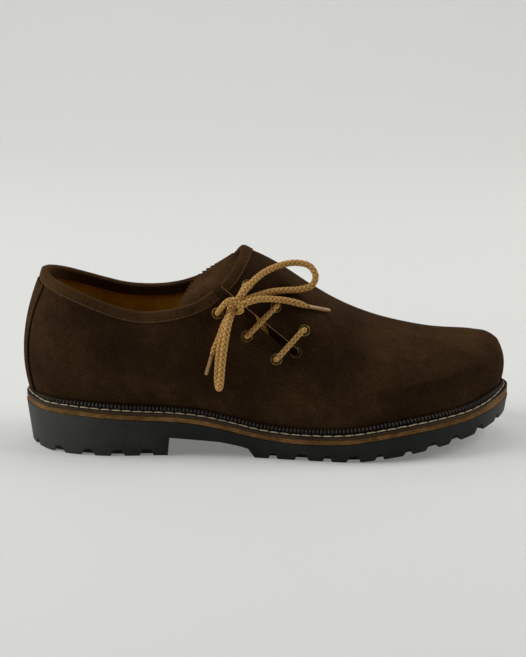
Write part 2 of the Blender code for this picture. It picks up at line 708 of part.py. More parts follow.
def binding_section(u):
    """Folded binding round the rim: down the outside, over the edge and down the inside."""
    rim, normal, away = collar_edge(np.clip(u, -1.0, 1.0))
    half = u if abs(u) <= 1.0 else np.sign(u) * (1.0 + abs(u)) / 2
    outer_row, inner_row = below_rim(u, BIND_OUTSIDE), below_rim(u, BIND_INSIDE)
    half_row = below_rim(half, BIND_OUTSIDE / 2)
    near, far = LAY, LAY + BIND_THICK
    deep_near, deep_far = WALL + near, WALL + far
    return [
        shell_point(u, outer_row, near),
        shell_point(u, outer_row, far),
        shell_point(half, half_row, far),
        rim + normal * far + away * near,
        rim + normal * near + away * far,
        rim - normal * deep_near + away * far,
        rim - normal * deep_far + away * near,
        shell_point(half, half_row, -deep_far),
        shell_point(u, inner_row, -deep_far),
        shell_point(u, inner_row, -deep_near),
        shell_point(half, half_row, -deep_near),
        rim - normal * deep_near + away * near,
        rim + normal * near + away * near,
        shell_point(half, half_row, near),
    ]


def make_collar_band(group, finish):
    """Binding from the slit's rear corner round the heel and the inner side to the slit's front corner."""
    rear = [s for s in reversed(REAR_STATIONS) if s <= SLIT_QUARTER]
    inner = [-s for s in REAR_STATIONS[1:]]
    peak = [-1.0, -1.0 - BIND_REACH / 2, 1.0 + BIND_REACH, 1.0 + BIND_REACH / 2, 1.0]
    front = [s for s in reversed(REAR_STATIONS) if s >= SLIT_VAMP]
    sections = [binding_section(u) for u in rear + inner + peak + front]
    add_object("collar_band", grid_mesh("collar_band", sections, wrap_points=True, cap_rows=True), group, finish)


def make_backstay(group, finish):
    """Strip over the heel seam, from the welt's bead up to the binding."""
    near, far = LAY, LAY + BACKSTAY_THICK
    climb = np.linspace(0.0, 0.3, 16)
    sections = []
    for u in np.linspace(-BACKSTAY_HALF, BACKSTAY_HALF, 9):
        heights = [surface(u, v)[2] - midsole_top(surface(u, 0.0)[0]) for v in climb]
        low = float(np.interp(BEAD_HEIGHT + BACKSTAY_GAP, heights, climb))
        rows = np.linspace(low, below_rim(u, BIND_OUTSIDE + BACKSTAY_GAP), 8)
        sections.append([shell_point(u, v, near) for v in rows] + [shell_point(u, v, far) for v in rows[::-1]])
    add_object("backstay", grid_mesh("backstay", sections, wrap_points=True, cap_rows=True), group, finish)


def make_tongue(group, finish):
    """Sheet under the slit and the vamp's collar; its free rear edge shows inside the shoe."""
    nets = []
    for row in TONGUE:
        rear = np.array(row.rear, float)
        middle = shell_point(*row.middle, -row.depth)
        front = shell_point(*row.front, -TONGUE_SEAT)
        nets.append((rear, middle, front))
    keys = np.arange(len(nets))
    spline = {(k, axis): Curve([(key, net[k][axis]) for key, net in zip(keys, nets)], 1)
              for k in range(3) for axis in range(3)}
    sections = []
    for key in np.linspace(0, keys[-1], TONGUE_COLUMNS):
        rear, middle, front = (np.array([spline[k, axis](key) for axis in range(3)]) for k in range(3))
        section = []
        for f in np.linspace(0.0, 1.0, TONGUE_ROWS):
            weights = ((1 - f) * (1 - 2 * f), 4 * f * (1 - f), f * (2 * f - 1))
            section.append(weights[0] * rear + weights[1] * middle + weights[2] * front)
        sections.append(section)
    tongue = add_object("tongue", grid_mesh("tongue", sections, outward=False), group, finish)
    sheet = tongue.modifiers.new("sheet", "SOLIDIFY")
    sheet.thickness = TONGUE_THICK * MM
    sheet.offset = 1.0
    sheet.use_quality_normals = True


def make_eyelets(group, finish):
    """Turned eyelets: a rim on the suede and a barrel through the wall."""
    profile = [
        (0.92 * EYELET_RIM, EYELET_TOP),
        (EYELET_RIM, 0.6 * EYELET_TOP),
        (EYELET_RIM, EYELET_FACE),
        (EYELET_BARREL, EYELET_FACE),
        (EYELET_BARREL, EYELET_FOOT),
        (EYELET_HOLE, EYELET_FOOT),
        (EYELET_HOLE, 0.8 * EYELET_TOP),
    ]
    for eyelet in EYELETS:
        name = "eyelet_" + eyelet.name
        mesh = bpy.data.meshes.new(name)
        count = len(profile)
        points = [(r * MM, 0.0, z * MM) for r, z in profile]
        mesh.from_pydata(points, [(i, (i + 1) % count) for i in range(count)], [])
        item = add_object(name, mesh, group, finish)
        turn = item.modifiers.new("turn", "SCREW")
        turn.steps = turn.render_steps = EYELET_SIDES
        turn.merge_threshold = WELD
        turn.use_merge_vertices = True
        item.matrix_world = eyelet_frame(eyelet)


def tube(name, points, diameter, step, group, finish):
    """Round cord along a smooth curve through the points."""
    line = spline(points, closed=False)
    lengths = np.r_[0.0, np.cumsum(np.linalg.norm(np.diff(line, axis=0), axis=1))]
    marks = np.linspace(0.0, lengths[-1], max(2, round(lengths[-1] / step) + 1))
    data = bpy.data.curves.new(name, "CURVE")
    data.dimensions = "3D"
    data.bevel_depth = diameter / 2 * MM
    data.bevel_resolution = 2
    data.use_fill_caps = True
    path = data.splines.new("POLY")
    path.points.add(len(marks) - 1)
    for point, mark in zip(path.points, marks):
        place = [np.interp(mark, lengths, line[:, axis]) * MM for axis in range(3)]
        point.co = (*place, 1.0)
    return add_object(name, data, group, finish)


def make_lace_bars(group, finish):
    """Three bars from eyelet to eyelet; the first lies low, under the knot."""
    place = {eyelet.name: outer_side_at(eyelet.x, eyelet.z) for eyelet in EYELETS}
    for row in (1, 2, 3):
        low, high = (place[f"{part}_{row}"] for part in ("quarter", "vamp"))
        start, end = surface(*low), surface(*high)
        rise_start, rise_end = surface_normal(*low), surface_normal(*high)
        span = end - start
        leave = unit(span - rise_start * (span @ rise_start))
        arrive = unit(span - rise_end * (span @ rise_end))
        middle = BAR_UNDER_KNOT if row == 1 else BAR_RISE
        points = [start + rise_start * rise + leave * run for run, rise in BAR_BEND]
        points.append((start + end) / 2 + unit(rise_start + rise_end) * middle)
        points += [end + rise_end * rise - arrive * run for run, rise in reversed(BAR_BEND)]
        tube(f"lace_bar_{row}", points, LACE, BAR_STEP, group, finish)


def make_bow(group, lace, tip):
    """Knot, loops and ends of the bow, with the plain tips of the lace."""
    rise = surface_normal(*outer_side_at(KNOT_CENTRE[0], KNOT_CENTRE[2]))
    frame = frame_at(KNOT_CENTRE, (1.0, 0.0, 0.8), rise)
    build = bmesh.new()
    size = Matrix.Diagonal((*(half * MM for half in KNOT_HALF), 1.0))
    bmesh.ops.create_uvsphere(build, u_segments=12, v_segments=8, radius=1.0, matrix=frame @ size)
    add_object("lace_knot", finish_mesh("lace_knot", build), group, lace)
    for name, points in (("lace_loop_upper", LOOP_UPPER), ("lace_loop_lower", LOOP_LOWER),
                         ("lace_end_upper", END_UPPER), ("lace_end_lower", END_LOWER)):
        tube(name, points, LACE, CORD_STEP, group, lace)
    for name, points in (("lace_tip_upper", TIP_UPPER), ("lace_tip_lower", TIP_LOWER)):
        tube(name, points, TIP, CORD_STEP, group, tip)


def centre_on_floor(group, cutters):
    """Hangs every piece on one empty, with the origin under the middle of the shoe without its bow."""
    bpy.context.view_layer.update()
    graph = bpy.context.evaluated_depsgraph_get()
    corners = []
    for item in group.objects:
        if not item.name.startswith(BOW_NAMES):
            shape = item.evaluated_get(graph).to_mesh()
            corners += [item.matrix_world @ vert.co for vert in shape.vertices]
    corners = np.array(corners)
    low, high = corners.min(axis=0), corners.max(axis=0)
    shoe = bpy.data.objects.new("shoe", None)
    shoe.location = (-(low[0] + high[0]) / 2, -(low[1] + high[1]) / 2, -low[2])
    bpy.context.scene.collection.objects.link(shoe)
    for item in [*group.objects, *cutters.objects]:
        item.parent = shoe


def main():
    clear_scene()
    group = new_collection("traditional_shoe")
    cutters = new_collection("cutters")
    suede = material("suede", (0.034, 0.020, 0.011), 0.9)
    rubber = material("rubber", (0.020, 0.020, 0.019), 0.75)
    leather = material("sole_leather", (0.155, 0.075, 0.022), 0.7)
    lining = material("lining_leather", (0.14, 0.075, 0.015), 0.7)
    welt = material("welt_leather", (0.012, 0.008, 0.006), 0.6)
    bronze = material("antique_brass", (0.045, 0.030, 0.016), 0.45, 0.9)
    braid = material("lace_braid", (0.456, 0.254, 0.080), 0.8)
    tip = material("lace_tip", (0.584, 0.381, 0.188), 0.4)
    make_outsole(group, cutters, rubber)
    make_midsole(group, leather)
    make_welt(group, welt)
    make_insole(group, lining)
    make_upper(group, cutters, suede)
    make_collar_band(group, suede)
    make_backstay(group, suede)
    make_tongue(group, suede)
    make_eyelets(group, bronze)
    make_lace_bars(group, braid)
    make_bow(group, braid, tip)
    centre_on_floor(group, cutters)


main()
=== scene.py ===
# %% [markdown]
# A side-laced suede shoe
# This lesson dresses a solid model of a traditional right shoe. The solids give every size and place. Here
# each piece gets the surface that the eye expects: napped suede, a ribbed welt, thread, leather edges and a
# braided lace. Tables are in millimetres, X from heel to toe, -Y to the outer, laced side and +Z up.

# %% Load the solids
import json
import math

import bmesh
import bpy
import numpy as np
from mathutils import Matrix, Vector
from mathutils.bvhtree import BVHTree

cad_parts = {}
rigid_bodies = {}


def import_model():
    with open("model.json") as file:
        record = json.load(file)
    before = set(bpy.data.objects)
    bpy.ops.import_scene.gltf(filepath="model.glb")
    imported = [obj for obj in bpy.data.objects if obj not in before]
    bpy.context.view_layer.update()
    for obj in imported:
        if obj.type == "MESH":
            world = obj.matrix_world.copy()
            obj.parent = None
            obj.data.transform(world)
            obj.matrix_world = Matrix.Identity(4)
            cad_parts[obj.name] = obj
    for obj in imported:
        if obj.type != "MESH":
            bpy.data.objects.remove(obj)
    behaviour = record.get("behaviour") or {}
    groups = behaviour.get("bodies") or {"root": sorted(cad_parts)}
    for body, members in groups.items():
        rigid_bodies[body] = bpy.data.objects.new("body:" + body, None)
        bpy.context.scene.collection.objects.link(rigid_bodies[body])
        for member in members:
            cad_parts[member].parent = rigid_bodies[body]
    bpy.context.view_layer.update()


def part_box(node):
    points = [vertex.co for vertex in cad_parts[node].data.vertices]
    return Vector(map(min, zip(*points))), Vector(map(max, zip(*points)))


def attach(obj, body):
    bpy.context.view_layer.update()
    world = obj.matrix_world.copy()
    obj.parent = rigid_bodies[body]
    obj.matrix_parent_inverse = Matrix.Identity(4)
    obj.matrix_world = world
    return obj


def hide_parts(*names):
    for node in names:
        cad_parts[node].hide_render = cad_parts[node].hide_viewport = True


for item in list(bpy.data.objects):
    bpy.data.objects.remove(item, do_unlink=True)
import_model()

# %% [markdown]
# Sizes
# A shoe is drawn on a last, so its skin is one smooth form. It could be sculpted over the solid, but the
# trims and the stitches have to follow exactly the same form. So the few tables that shape the solid upper
# are used again here, and the rest is worked out from them.

# %% Driving sizes
MM = 0.001
SOLE_LENGTH = 305.0
BALL_WIDTH = 110.5
TOE_SWING = 4.0
# gap between two layers, and how far over the suede the under side of a trim lies
FIT = 0.3
LAY = FIT + 0.05
MIDSOLE_THICK = 3.6
INSOLE_THICK = 3.0
WALL = 2.2
OUTER, INNER = 0, 1
print("sole, mm:", SOLE_LENGTH, "by", BALL_WIDTH)

# %% Outline of the sole and the heights along it
# columns: share of the length, outer half width and inner half width as shares of the ball width
OUTLINE = [
    (0.048, 0.262, 0.258), (0.146, 0.371, 0.353), (0.303, 0.380, 0.326), (0.434, 0.403, 0.330),
    (0.566, 0.471, 0.403), (0.680, 0.516, 0.471), (0.811, 0.471, 0.475), (0.926, 0.308, 0.375),
]
# columns: x, height of the rubber's upper edge
RUBBER_EDGE = [
    (-153.0, 27.2), (-120.0, 26.4), (-80.0, 23.9), (-43.0, 21.0), (-25.0, 17.2), (-6.6, 13.2), (11.6, 11.4),
    (29.7, 11.2), (47.7, 12.4), (65.8, 15.1), (84.0, 17.8), (103.0, 19.9), (130.0, 23.2), (153.0, 26.6),
]
# columns: share of the way round from heel to toe, how far the sole stands out past the upper
LEDGE = [(0.0, 3.9), (0.12, 5.0), (0.45, 5.5), (0.7, 6.0), (1.0, 5.2)]
print("rubber's edge at heel and toe, mm:", RUBBER_EDGE[0][1], RUBBER_EDGE[-1][1])

# %% Collar and ridge of the upper
# columns: station from heel (0) to instep peak (1), x, y, z
OUTER_COLLAR = [
    (0.00, -139.0, 0.5, 109.4), (0.07, -136.4, -11.5, 108.0), (0.15, -127.5, -22.0, 104.3),
    (0.235, -115.0, -28.0, 99.7), (0.315, -102.8, -31.0, 95.1), (0.39, -90.7, -33.0, 91.1),
    (0.46, -78.7, -34.0, 88.8), (0.53, -66.6, -34.5, 89.2), (0.605, -54.5, -34.0, 91.2),
    (0.68, -42.4, -32.0, 95.2), (0.742, -33.9, -29.0, 100.4), (0.782, -29.2, -26.8, 104.1),
    (0.83, -24.9, -23.0, 108.0), (0.885, -20.8, -17.2, 112.9), (0.93, -18.0, -11.0, 117.0),
    (0.97, -15.9, -3.5, 120.7), (1.00, -14.9, 3.0, 121.6),
]
INNER_COLLAR = [
    (0.00, -139.0, 0.5, 109.4), (0.07, -136.4, 11.0, 108.0), (0.15, -127.5, 19.5, 104.8),
    (0.235, -115.0, 26.0, 99.8), (0.315, -102.8, 29.5, 95.4), (0.39, -90.7, 31.4, 92.0),
    (0.46, -78.7, 32.2, 90.6), (0.53, -66.6, 32.0, 90.8), (0.605, -54.5, 30.8, 92.9),
    (0.68, -43.5, 28.4, 97.0), (0.78, -29.2, 24.6, 105.0), (0.885, -20.6, 17.6, 113.6),
    (0.95, -16.6, 10.2, 119.6), (1.00, -14.9, 3.0, 121.6),
]
COLLARS = (OUTER_COLLAR, INNER_COLLAR)
# columns: station from instep peak (1) to toe cap (2), x, y, z
RIDGE = [
    (1.00, -14.9, 3.0, 121.6), (1.07, -5.0, 3.5, 116.6), (1.14, 4.7, 4.0, 110.8), (1.25, 20.0, 4.6, 100.4),
    (1.36, 34.5, 5.0, 90.6), (1.5, 52.0, 5.5, 81.0), (1.64, 68.0, 6.0, 74.4), (1.76, 83.0, 6.0, 70.0),
    (1.86, 95.0, 6.0, 68.4), (1.93, 103.0, 6.0, 68.0), (1.97, 106.3, 6.0, 68.0), (2.00, 107.0, 6.0, 68.0),
]
print("rows of the collars and the ridge:", [len(rows) for rows in (*COLLARS, RIDGE)])

# %% Ribs of the upper
# columns: station, foot as share of the way round the sole, lean and rise of the lower handle, run and drop
# of the upper handle; heel and toe have the same ribs on both sides
HEEL_RIBS = [
    (0.00, 0.000, 8.3, 26.0, 10.4, -23.0), (0.15, 0.075, 6.5, 24.0, 8.5, -22.0),
    (0.315, 0.185, 4.5, 20.0, 6.0, -19.0),
]
TOE_RIBS = [
    (1.50, 0.755, 4.0, 33.0, 34.0, -8.0), (1.75, 0.865, 5.0, 31.0, 36.0, -5.0),
    (1.90, 0.940, 6.0, 30.0, 37.0, -2.0), (2.00, 1.000, 6.5, 30.0, 38.0, 0.5),
]
OUTER_WAIST = [
    (0.46, 0.255, 4.0, 19.0, 5.0, -18.0), (0.605, 0.320, 4.0, 19.0, 5.0, -18.0),
    (0.742, 0.392, 4.0, 22.0, 7.5, -19.0), (0.83, 0.450, 4.0, 29.0, 13.0, -17.0),
    (0.93, 0.522, 4.0, 37.0, 21.0, -14.0), (1.00, 0.570, 4.0, 40.0, 26.0, -9.5),
    (1.25, 0.660, 4.0, 36.0, 31.0, -10.5),
]
INNER_WAIST = [
    (0.46, 0.255, 3.5, 19.0, 5.0, -18.0), (0.605, 0.325, 3.0, 20.0, 6.0, -19.0),
    (0.78, 0.430, 2.5, 28.0, 12.0, -20.0), (0.89, 0.500, 3.0, 37.0, 20.0, -16.0),
    (1.00, 0.570, 3.0, 42.0, 26.0, -9.5), (1.25, 0.660, 3.5, 37.0, 31.0, -10.5),
]
RIBS = (HEEL_RIBS + OUTER_WAIST + TOE_RIBS, HEEL_RIBS + INNER_WAIST + TOE_RIBS)
# how strongly an upper handle turns from the sole's outward direction to the rib's own
HANDLE_PULL = 15.0
print("ribs on the outer and the inner side:", [len(rows) for rows in RIBS])


# %% Curve through a table
def smooth(rows, at):
    """Cubic curve through a table's rows; the first column is the key, the others are returned as columns."""
    table = np.array(rows, float)
    keys, values = table[:, 0], table[:, 1:]
    slopes = np.gradient(values, keys, axis=0)
    at = np.clip(np.asarray(at, float), keys[0], keys[-1])
    span = np.clip(np.searchsorted(keys, at) - 1, 0, len(keys) - 2)
    width = (keys[span + 1] - keys[span])[..., None]
    f = (at - keys[span])[..., None] / width
    start, end = values[span], values[span + 1]
    leave, arrive = slopes[span] * width, slopes[span + 1] * width
    bend = 3 * (end - start) - 2 * leave - arrive
    turn = 2 * (start - end) + leave + arrive
    return start + f * (leave + f * (bend + f * turn))


# %% Curves through points
def spline(points, closed=False, per_span=40):
    """Centripetal Catmull-Rom curve through the points, as a loop or from end to end."""
    points = np.array(points, float)
    if not closed:
        points = np.vstack([2 * points[0] - points[1], points, 2 * points[-1] - points[-2]])
    count = len(points)
    line = []
    for i in range(count) if closed else range(1, count - 2):
        a, b, c, d = (points[(i + k) % count] for k in (-1, 0, 1, 2))
        t1 = math.sqrt(np.linalg.norm(b - a))
        t2 = t1 + math.sqrt(np.linalg.norm(c - b))
        t3 = t2 + math.sqrt(np.linalg.norm(d - c))
        for t in np.linspace(t1, t2, per_span, endpoint=False):
            ab = (a * (t1 - t) + b * t) / t1
            bc = (b * (t2 - t) + c * (t - t1)) / (t2 - t1)
            cd = (c * (t3 - t) + d * (t - t2)) / (t3 - t2)
            abc = (ab * (t2 - t) + bc * t) / t2
            bcd = (bc * (t3 - t) + cd * (t - t1)) / (t3 - t1)
            line.append((abc * (t2 - t) + bcd * (t - t1)) / (t2 - t1))
    if not closed:
        line.append(points[-2])
    return np.array(line)


def lengths_along(line):
    return np.r_[0.0, np.cumsum(np.linalg.norm(np.diff(line, axis=0), axis=1))]


def even(line, step):
    """The same polyline with its points evenly apart, about `step` from each other."""
    run = lengths_along(line)
    marks = np.linspace(0.0, run[-1], max(3, round(run[-1] / step) + 1))
    return np.stack([np.interp(marks, run, column) for column in np.asarray(line).T], axis=1)


def unit(vectors):
    return vectors / np.linalg.norm(vectors, axis=-1, keepdims=True)


# %% The sole's outline
def sole_halves():
    """Shares, points and outward normals of the sole's outline from heel to toe, outer and inner side."""
    half = SOLE_LENGTH / 2
    outer = [(along * SOLE_LENGTH - half, -lateral * BALL_WIDTH) for along, lateral, medial in OUTLINE]
    inner = [(along * SOLE_LENGTH - half, medial * BALL_WIDTH) for along, lateral, medial in OUTLINE[::-1]]
    loop = spline([(-half, 0.0)] + outer + [(half, TOE_SWING)] + inner, closed=True)
    ahead = np.roll(loop, -1, axis=0) - np.roll(loop, 1, axis=0)
    normals = unit(np.stack([ahead[:, 1], -ahead[:, 0]], axis=1))
    toe = len(loop) // 2
    orders = (np.arange(toe + 1), np.r_[0, np.arange(len(loop) - 1, toe - 1, -1)])
    runs = [lengths_along(loop[order]) for order in orders]
    return [(run / run[-1], loop[order], normals[order]) for run, order in zip(runs, orders)]


HALVES = sole_halves()
outline_points = np.vstack([points for share, points, normals in HALVES])
box_low, box_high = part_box("outsole")
own_middle = (outline_points.min(axis=0) + outline_points.max(axis=0)) / 2
SHIFT = np.array([*(np.array((box_low + box_high)[:2]) / 2 / MM - own_middle), 0.0])
print("tables to frame, mm:", SHIFT.round(3))


def to_frame(points):
    """Table millimetres to the frame's metres."""
    return (np.asarray(points, float) + SHIFT) * MM


def sole_edge(side, share):
    """Plan points and outward normals at shares of the way round one side."""
    known, points, normals = HALVES[side]
    at = np.stack([np.interp(share, known, points[:, k]) for k in (0, 1)], axis=-1)
    out = np.stack([np.interp(share, known, normals[:, k]) for k in (0, 1)], axis=-1)
    return at, unit(out)


def midsole_top(x):
    return smooth(RUBBER_EDGE, x)[..., 0] + FIT + MIDSOLE_THICK


# %% [markdown]
# The form of the upper
# Every rib of the upper is a cubic curve from the sole to the collar or to the ridge of the vamp. A station
# u says which rib, positive on the outer side and negative on the inner, and v says how far up it. On a
# worn-in last the leather also swells and pinches a little. Noise would do that evenly all over, and real
# leather doesn't, so a short list of soft troughs and ridges is given.

# %% The upper's surface
def ribs(u):
    """Four control points of the rib at each station."""
    u = (np.asarray(u, float) + 2.0) % 4.0 - 2.0
    rows = np.empty((*u.shape, 4, 3))
    for side, chosen in ((OUTER, u >= 0), (INNER, u < 0)):
        s = np.abs(u[chosen])
        share, lean, rise, run, drop = smooth(RIBS[side], s).T
        edge, normal = sole_edge(side, share)
        plan = edge - normal * smooth(LEDGE, share)
        foot = np.column_stack([plan, midsole_top(plan[:, 0]) + FIT])
        top = np.where((s < 1.0)[:, None], smooth(COLLARS[side], s), smooth(RIDGE, s))
        pull = unit(normal + (plan - top[:, :2]) / HANDLE_PULL)
        low = foot + np.column_stack([normal * lean[:, None], rise])
        high = top + np.column_stack([pull * run[:, None], drop])
        rows[chosen] = np.stack([foot, low, high, top], axis=1)
    return rows


def surface(u, v):
    """Outer surface of the upper; v runs up the rib from the sole (0) to the collar or ridge (1)."""
    u, v = np.broadcast_arrays(np.asarray(u, float), np.asarray(v, float))
    w = 1.0 - v
    weights = np.stack([w ** 3, 3 * w * w * v, 3 * w * v * v, v ** 3], axis=-1)
    return (ribs(u) * weights[..., None]).sum(axis=-2)


def surface_normal(u, v, step=0.004):
    u, v = np.asarray(u, float), np.asarray(v, float)
    across = surface(u + step, v) - surface(u - step, v)
    up = surface(u, np.minimum(1.0, v + step)) - surface(u, np.maximum(0.0, v - step))
    return unit(np.cross(across, up))


# %% Places on the outer side
# first guess, its limits, and the small step, longest move and number of rounds of the search
GUESS, GUESS_LOW, GUESS_HIGH = (0.9, 0.6), (0.3, 0.05), (1.9, 0.98)
SEARCH_STEP, SEARCH_MOVE, SEARCH_ROUNDS = 1e-4, 0.1, 40


def outer_side_at(x, z):
    """Station and row of the outer side's point with the given X and Z, by Newton's method."""
    place = np.array(GUESS)
    for _ in range(SEARCH_ROUNDS):
        here = surface(*place)[[0, 2]]
        slope_u = (surface(place[0] + SEARCH_STEP, place[1])[[0, 2]] - here) / SEARCH_STEP
        slope_v = (surface(place[0], place[1] + SEARCH_STEP)[[0, 2]] - here) / SEARCH_STEP
        move = np.linalg.solve(np.stack([slope_u, slope_v], axis=1), np.array([x, z]) - here)
        place = np.clip(place + np.clip(move, -SEARCH_MOVE, SEARCH_MOVE), GUESS_LOW, GUESS_HIGH)
    return place


# %% Soft troughs and ridges
# columns: start x, z and end x, z in side view, width, height
TOE_SWELLS = [(128.0, 57.0, 140.0, 46.0, 8.0, 1.2), (138.0, 64.0, 142.5, 61.5, 5.0, 1.2)]
OUTER_CREASES = [
    (84.0, 45.5, 128.0, 52.0, 7.5, 2.4), (90.0, 35.5, 130.0, 41.0, 8.0, -0.8), *TOE_SWELLS,
    (24.0, 60.0, 27.0, 42.0, 6.0, -0.7), (14.0, 54.0, 10.0, 44.0, 7.0, 0.6),
    (46.0, 62.0, 62.0, 52.0, 8.0, -0.5), (-106.0, 66.0, -98.0, 70.0, 13.0, 0.6),
    (-62.0, 66.0, -52.0, 68.0, 12.0, 0.5), (-84.0, 52.0, -66.0, 54.0, 12.0, -0.4),
    (-8.0, 50.0, -14.0, 38.0, 8.0, -0.5),
]
INNER_CREASES = [
    (84.0, 48.0, 122.0, 53.0, 9.0, 0.7), *TOE_SWELLS, (52.0, 60.0, 66.0, 47.0, 7.0, -0.7),
    (40.0, 66.0, 52.0, 50.0, 6.0, -0.5), (-104.0, 64.0, -94.0, 68.0, 13.0, 0.6),
    (-50.0, 56.0, -30.0, 60.0, 13.0, -0.5),
]
# share of a rib over which the relief fades out, at its foot and at its top
CREASE_FADE = 0.12


def relief(u, v):
    """How far the leather swells (+) or sinks (-) at a place on the upper."""
    points = surface(u, v)
    u, v = np.broadcast_arrays(np.asarray(u, float), np.asarray(v, float))
    swell = np.zeros(u.shape)
    flat = points[..., [0, 2]]
    for here, rows in ((u >= 0, OUTER_CREASES), (u < 0, INNER_CREASES)):
        for x0, z0, x1, z1, width, height in rows:
            start, along = np.array([x0, z0]), np.array([x1 - x0, z1 - z0])
            f = np.clip(((flat - start) @ along) / (along @ along), 0.0, 1.0)
            gap = np.linalg.norm(flat - start - f[..., None] * along, axis=-1)
            swell += here * height * np.exp(-(gap / width) ** 2)
    fade = np.clip(v / CREASE_FADE, 0.0, 1.0) * np.clip((1.0 - v) / CREASE_FADE, 0.0, 1.0)
    return swell * fade


# %% [markdown]
# Small helpers
# One function adds a node with its settings and links, for shaders and for Geometry Nodes alike. Others
# turn grids of points into meshes, and settle a finished piece: its modifiers are applied, it rides on the
# shoe's body and the solids it stands for are hidden.

# %% Node and colour helpers
NOISE, MIX, RAMP, BUMP = "ShaderNodeTexNoise", "ShaderNodeMix", "ShaderNodeValToRGB", "ShaderNodeBump"
MATH, MAP_RANGE, SPLIT = "ShaderNodeMath", "ShaderNodeMapRange", "ShaderNodeSeparateXYZ"


def colour(code):
    """sRGB hex to linear RGBA."""
    shares = [int(code[k:k + 2], 16) / 255 for k in (1, 3, 5)]
    linear = [c / 12.92 if c <= 0.04045 else ((c + 0.055) / 1.055) ** 2.4 for c in shares]
    return (*linear, 1.0)


def per_mm(size):
    """Texture scale for a pattern of that size in millimetres, on coordinates in metres."""
    return 1.0 / (size * MM)


def plug(tree, node, values):
    """Sets a node's inputs, or links them where the value is another node's output."""
    for key, value in values.items():
        if isinstance(value, bpy.types.NodeSocket):
            tree.links.new(value, node.inputs[key])
        else:
            node.inputs[key].default_value = value


def add(tree, kind, inputs=None, stops=(), **settings):
    """Adds a node with its settings, its values or links and, on a colour ramp, its stops."""
    made = tree.nodes.new(kind)
    for key, value in settings.items():
        setattr(made, key, value)
    plug(tree, made, inputs or {})
    for number, (place, code) in enumerate(stops):
        steps = made.color_ramp.elements
        step = steps[number] if number < len(steps) else steps.new(place)
        step.position = place
        step.color = colour(code)
    return made


def new_finish(name):
    """New material; returns it, its tree, its shader and the coordinates of the piece that wears it."""
    finish = bpy.data.materials.new(name)
    finish.use_nodes = True
    tree = finish.node_tree
    return finish, tree, tree.nodes["Principled BSDF"], add(tree, "ShaderNodeTexCoord").outputs["Object"]


def dye_and_grain(tree, shader, shade, stops, grain, depth, strength):
    """Colours a shader by a shade from 0 to 1, and gives it a grain of that depth in millimetres."""
    tone = add(tree, RAMP, {"Fac": shade}, stops)
    bump = add(tree, BUMP, {"Height": grain, "Distance": depth * MM, "Strength": strength})
    plug(tree, shader, {"Base Color": tone.outputs["Color"], "Normal": bump.outputs["Normal"]})


# %% Faces of grids and tubes
def grid_faces(rows, columns, close_rows=False, close_columns=False):
    """Corner numbers of the quads over a grid of points, row by row."""
    i = np.arange(rows if close_rows else rows - 1)[:, None]
    j = np.arange(columns if close_columns else columns - 1)[None, :]
    here, there = i * columns, (i + 1) % rows * columns
    after = (j + 1) % columns
    return np.stack([here + j, there + j, there + after, here + after], axis=-1).reshape(-1, 4)


def tube_faces(rings, sides):
    """Faces of a tube made of rings, with both ends closed."""
    last = (rings - 1) * sides
    faces = grid_faces(rings, sides, close_columns=True).tolist()
    return faces + [list(range(sides)), list(range(last, last + sides))]


# %% New objects and pieces
def put_in_scene(name, data):
    """New object for a mesh, a lamp or the camera, linked to the scene."""
    item = bpy.data.objects.new(name, data)
    bpy.context.scene.collection.objects.link(item)
    return item


def raw_object(name, points, faces=(), edges=()):
    """New object from points in the frame's metres."""
    mesh = bpy.data.meshes.new(name)
    mesh.from_pydata(np.asarray(points).tolist(), list(edges), [list(map(int, face)) for face in faces])
    return put_in_scene(name, mesh)


def new_piece(name, points, faces, *finishes):
    """New smooth piece from points in table millimetres."""
    piece = raw_object(name, to_frame(points), faces)
    for finish in finishes:
        piece.data.materials.append(finish)
    piece.data.shade_smooth()
    return piece


def mend(piece, merge=0.001, outward=True):
    """Merges doubled points and, on a closed mesh, turns all faces outwards."""
    build = bmesh.new()
    build.from_mesh(piece.data)
    bmesh.ops.remove_doubles(build, verts=build.verts, dist=merge * MM)
    bmesh.ops.dissolve_degenerate(build, edges=build.edges, dist=merge * MM / 4)
    if outward:
        bmesh.ops.recalc_face_normals(build, faces=build.faces)
    build.to_mesh(piece.data)
    build.free()


# %% Modifier helpers
INWARDS, BOTH_WAYS, OUTWARDS = -1.0, 0.0, 1.0
ROUND_SEGMENTS, ROUND_ANGLE = 2, math.radians(50.0)


def thicken(piece, thickness, offset, inner=0, rim=0):
    """Gives a sheet its wall; inner and rim say which of its finishes those faces get."""
    wall = piece.modifiers.new("wall", "SOLIDIFY")
    wall.thickness = thickness * MM
    wall.offset = offset
    wall.use_quality_normals = True
    wall.material_offset = inner
    wall.material_offset_rim = rim


def soften(piece, width):
    """Rounds a piece's sharp edges."""
    round_off = piece.modifiers.new("round", "BEVEL")
    round_off.width = width * MM
    round_off.segments = ROUND_SEGMENTS
    round_off.limit_method = "ANGLE"
    round_off.angle_limit = ROUND_ANGLE


def cut(piece, cutters):
    """Takes the cutters' shapes out of the piece; the cut faces get the cutter's finish."""
    for cutter in cutters:
        cutter.hide_render = True
        hole = piece.modifiers.new(cutter.name, "BOOLEAN")
        hole.operation = "DIFFERENCE"
        hole.solver = "EXACT"
        hole.material_mode = "TRANSFER"
        hole.object = cutter


# %% Baking and settling a piece
SHARP = math.radians(38.0)
BODY = "root"


def bake(piece, helpers=()):
    """Makes the evaluated shape the piece's own mesh and removes its helpers."""
    bpy.context.view_layer.update()
    graph = bpy.context.evaluated_depsgraph_get()
    mesh = bpy.data.meshes.new_from_object(piece.evaluated_get(graph))
    piece.modifiers.clear()
    piece.data = mesh
    mesh.shade_smooth()
    mesh.set_sharp_from_angle(angle=SHARP)
    for helper in helpers:
        bpy.data.objects.remove(helper, do_unlink=True)


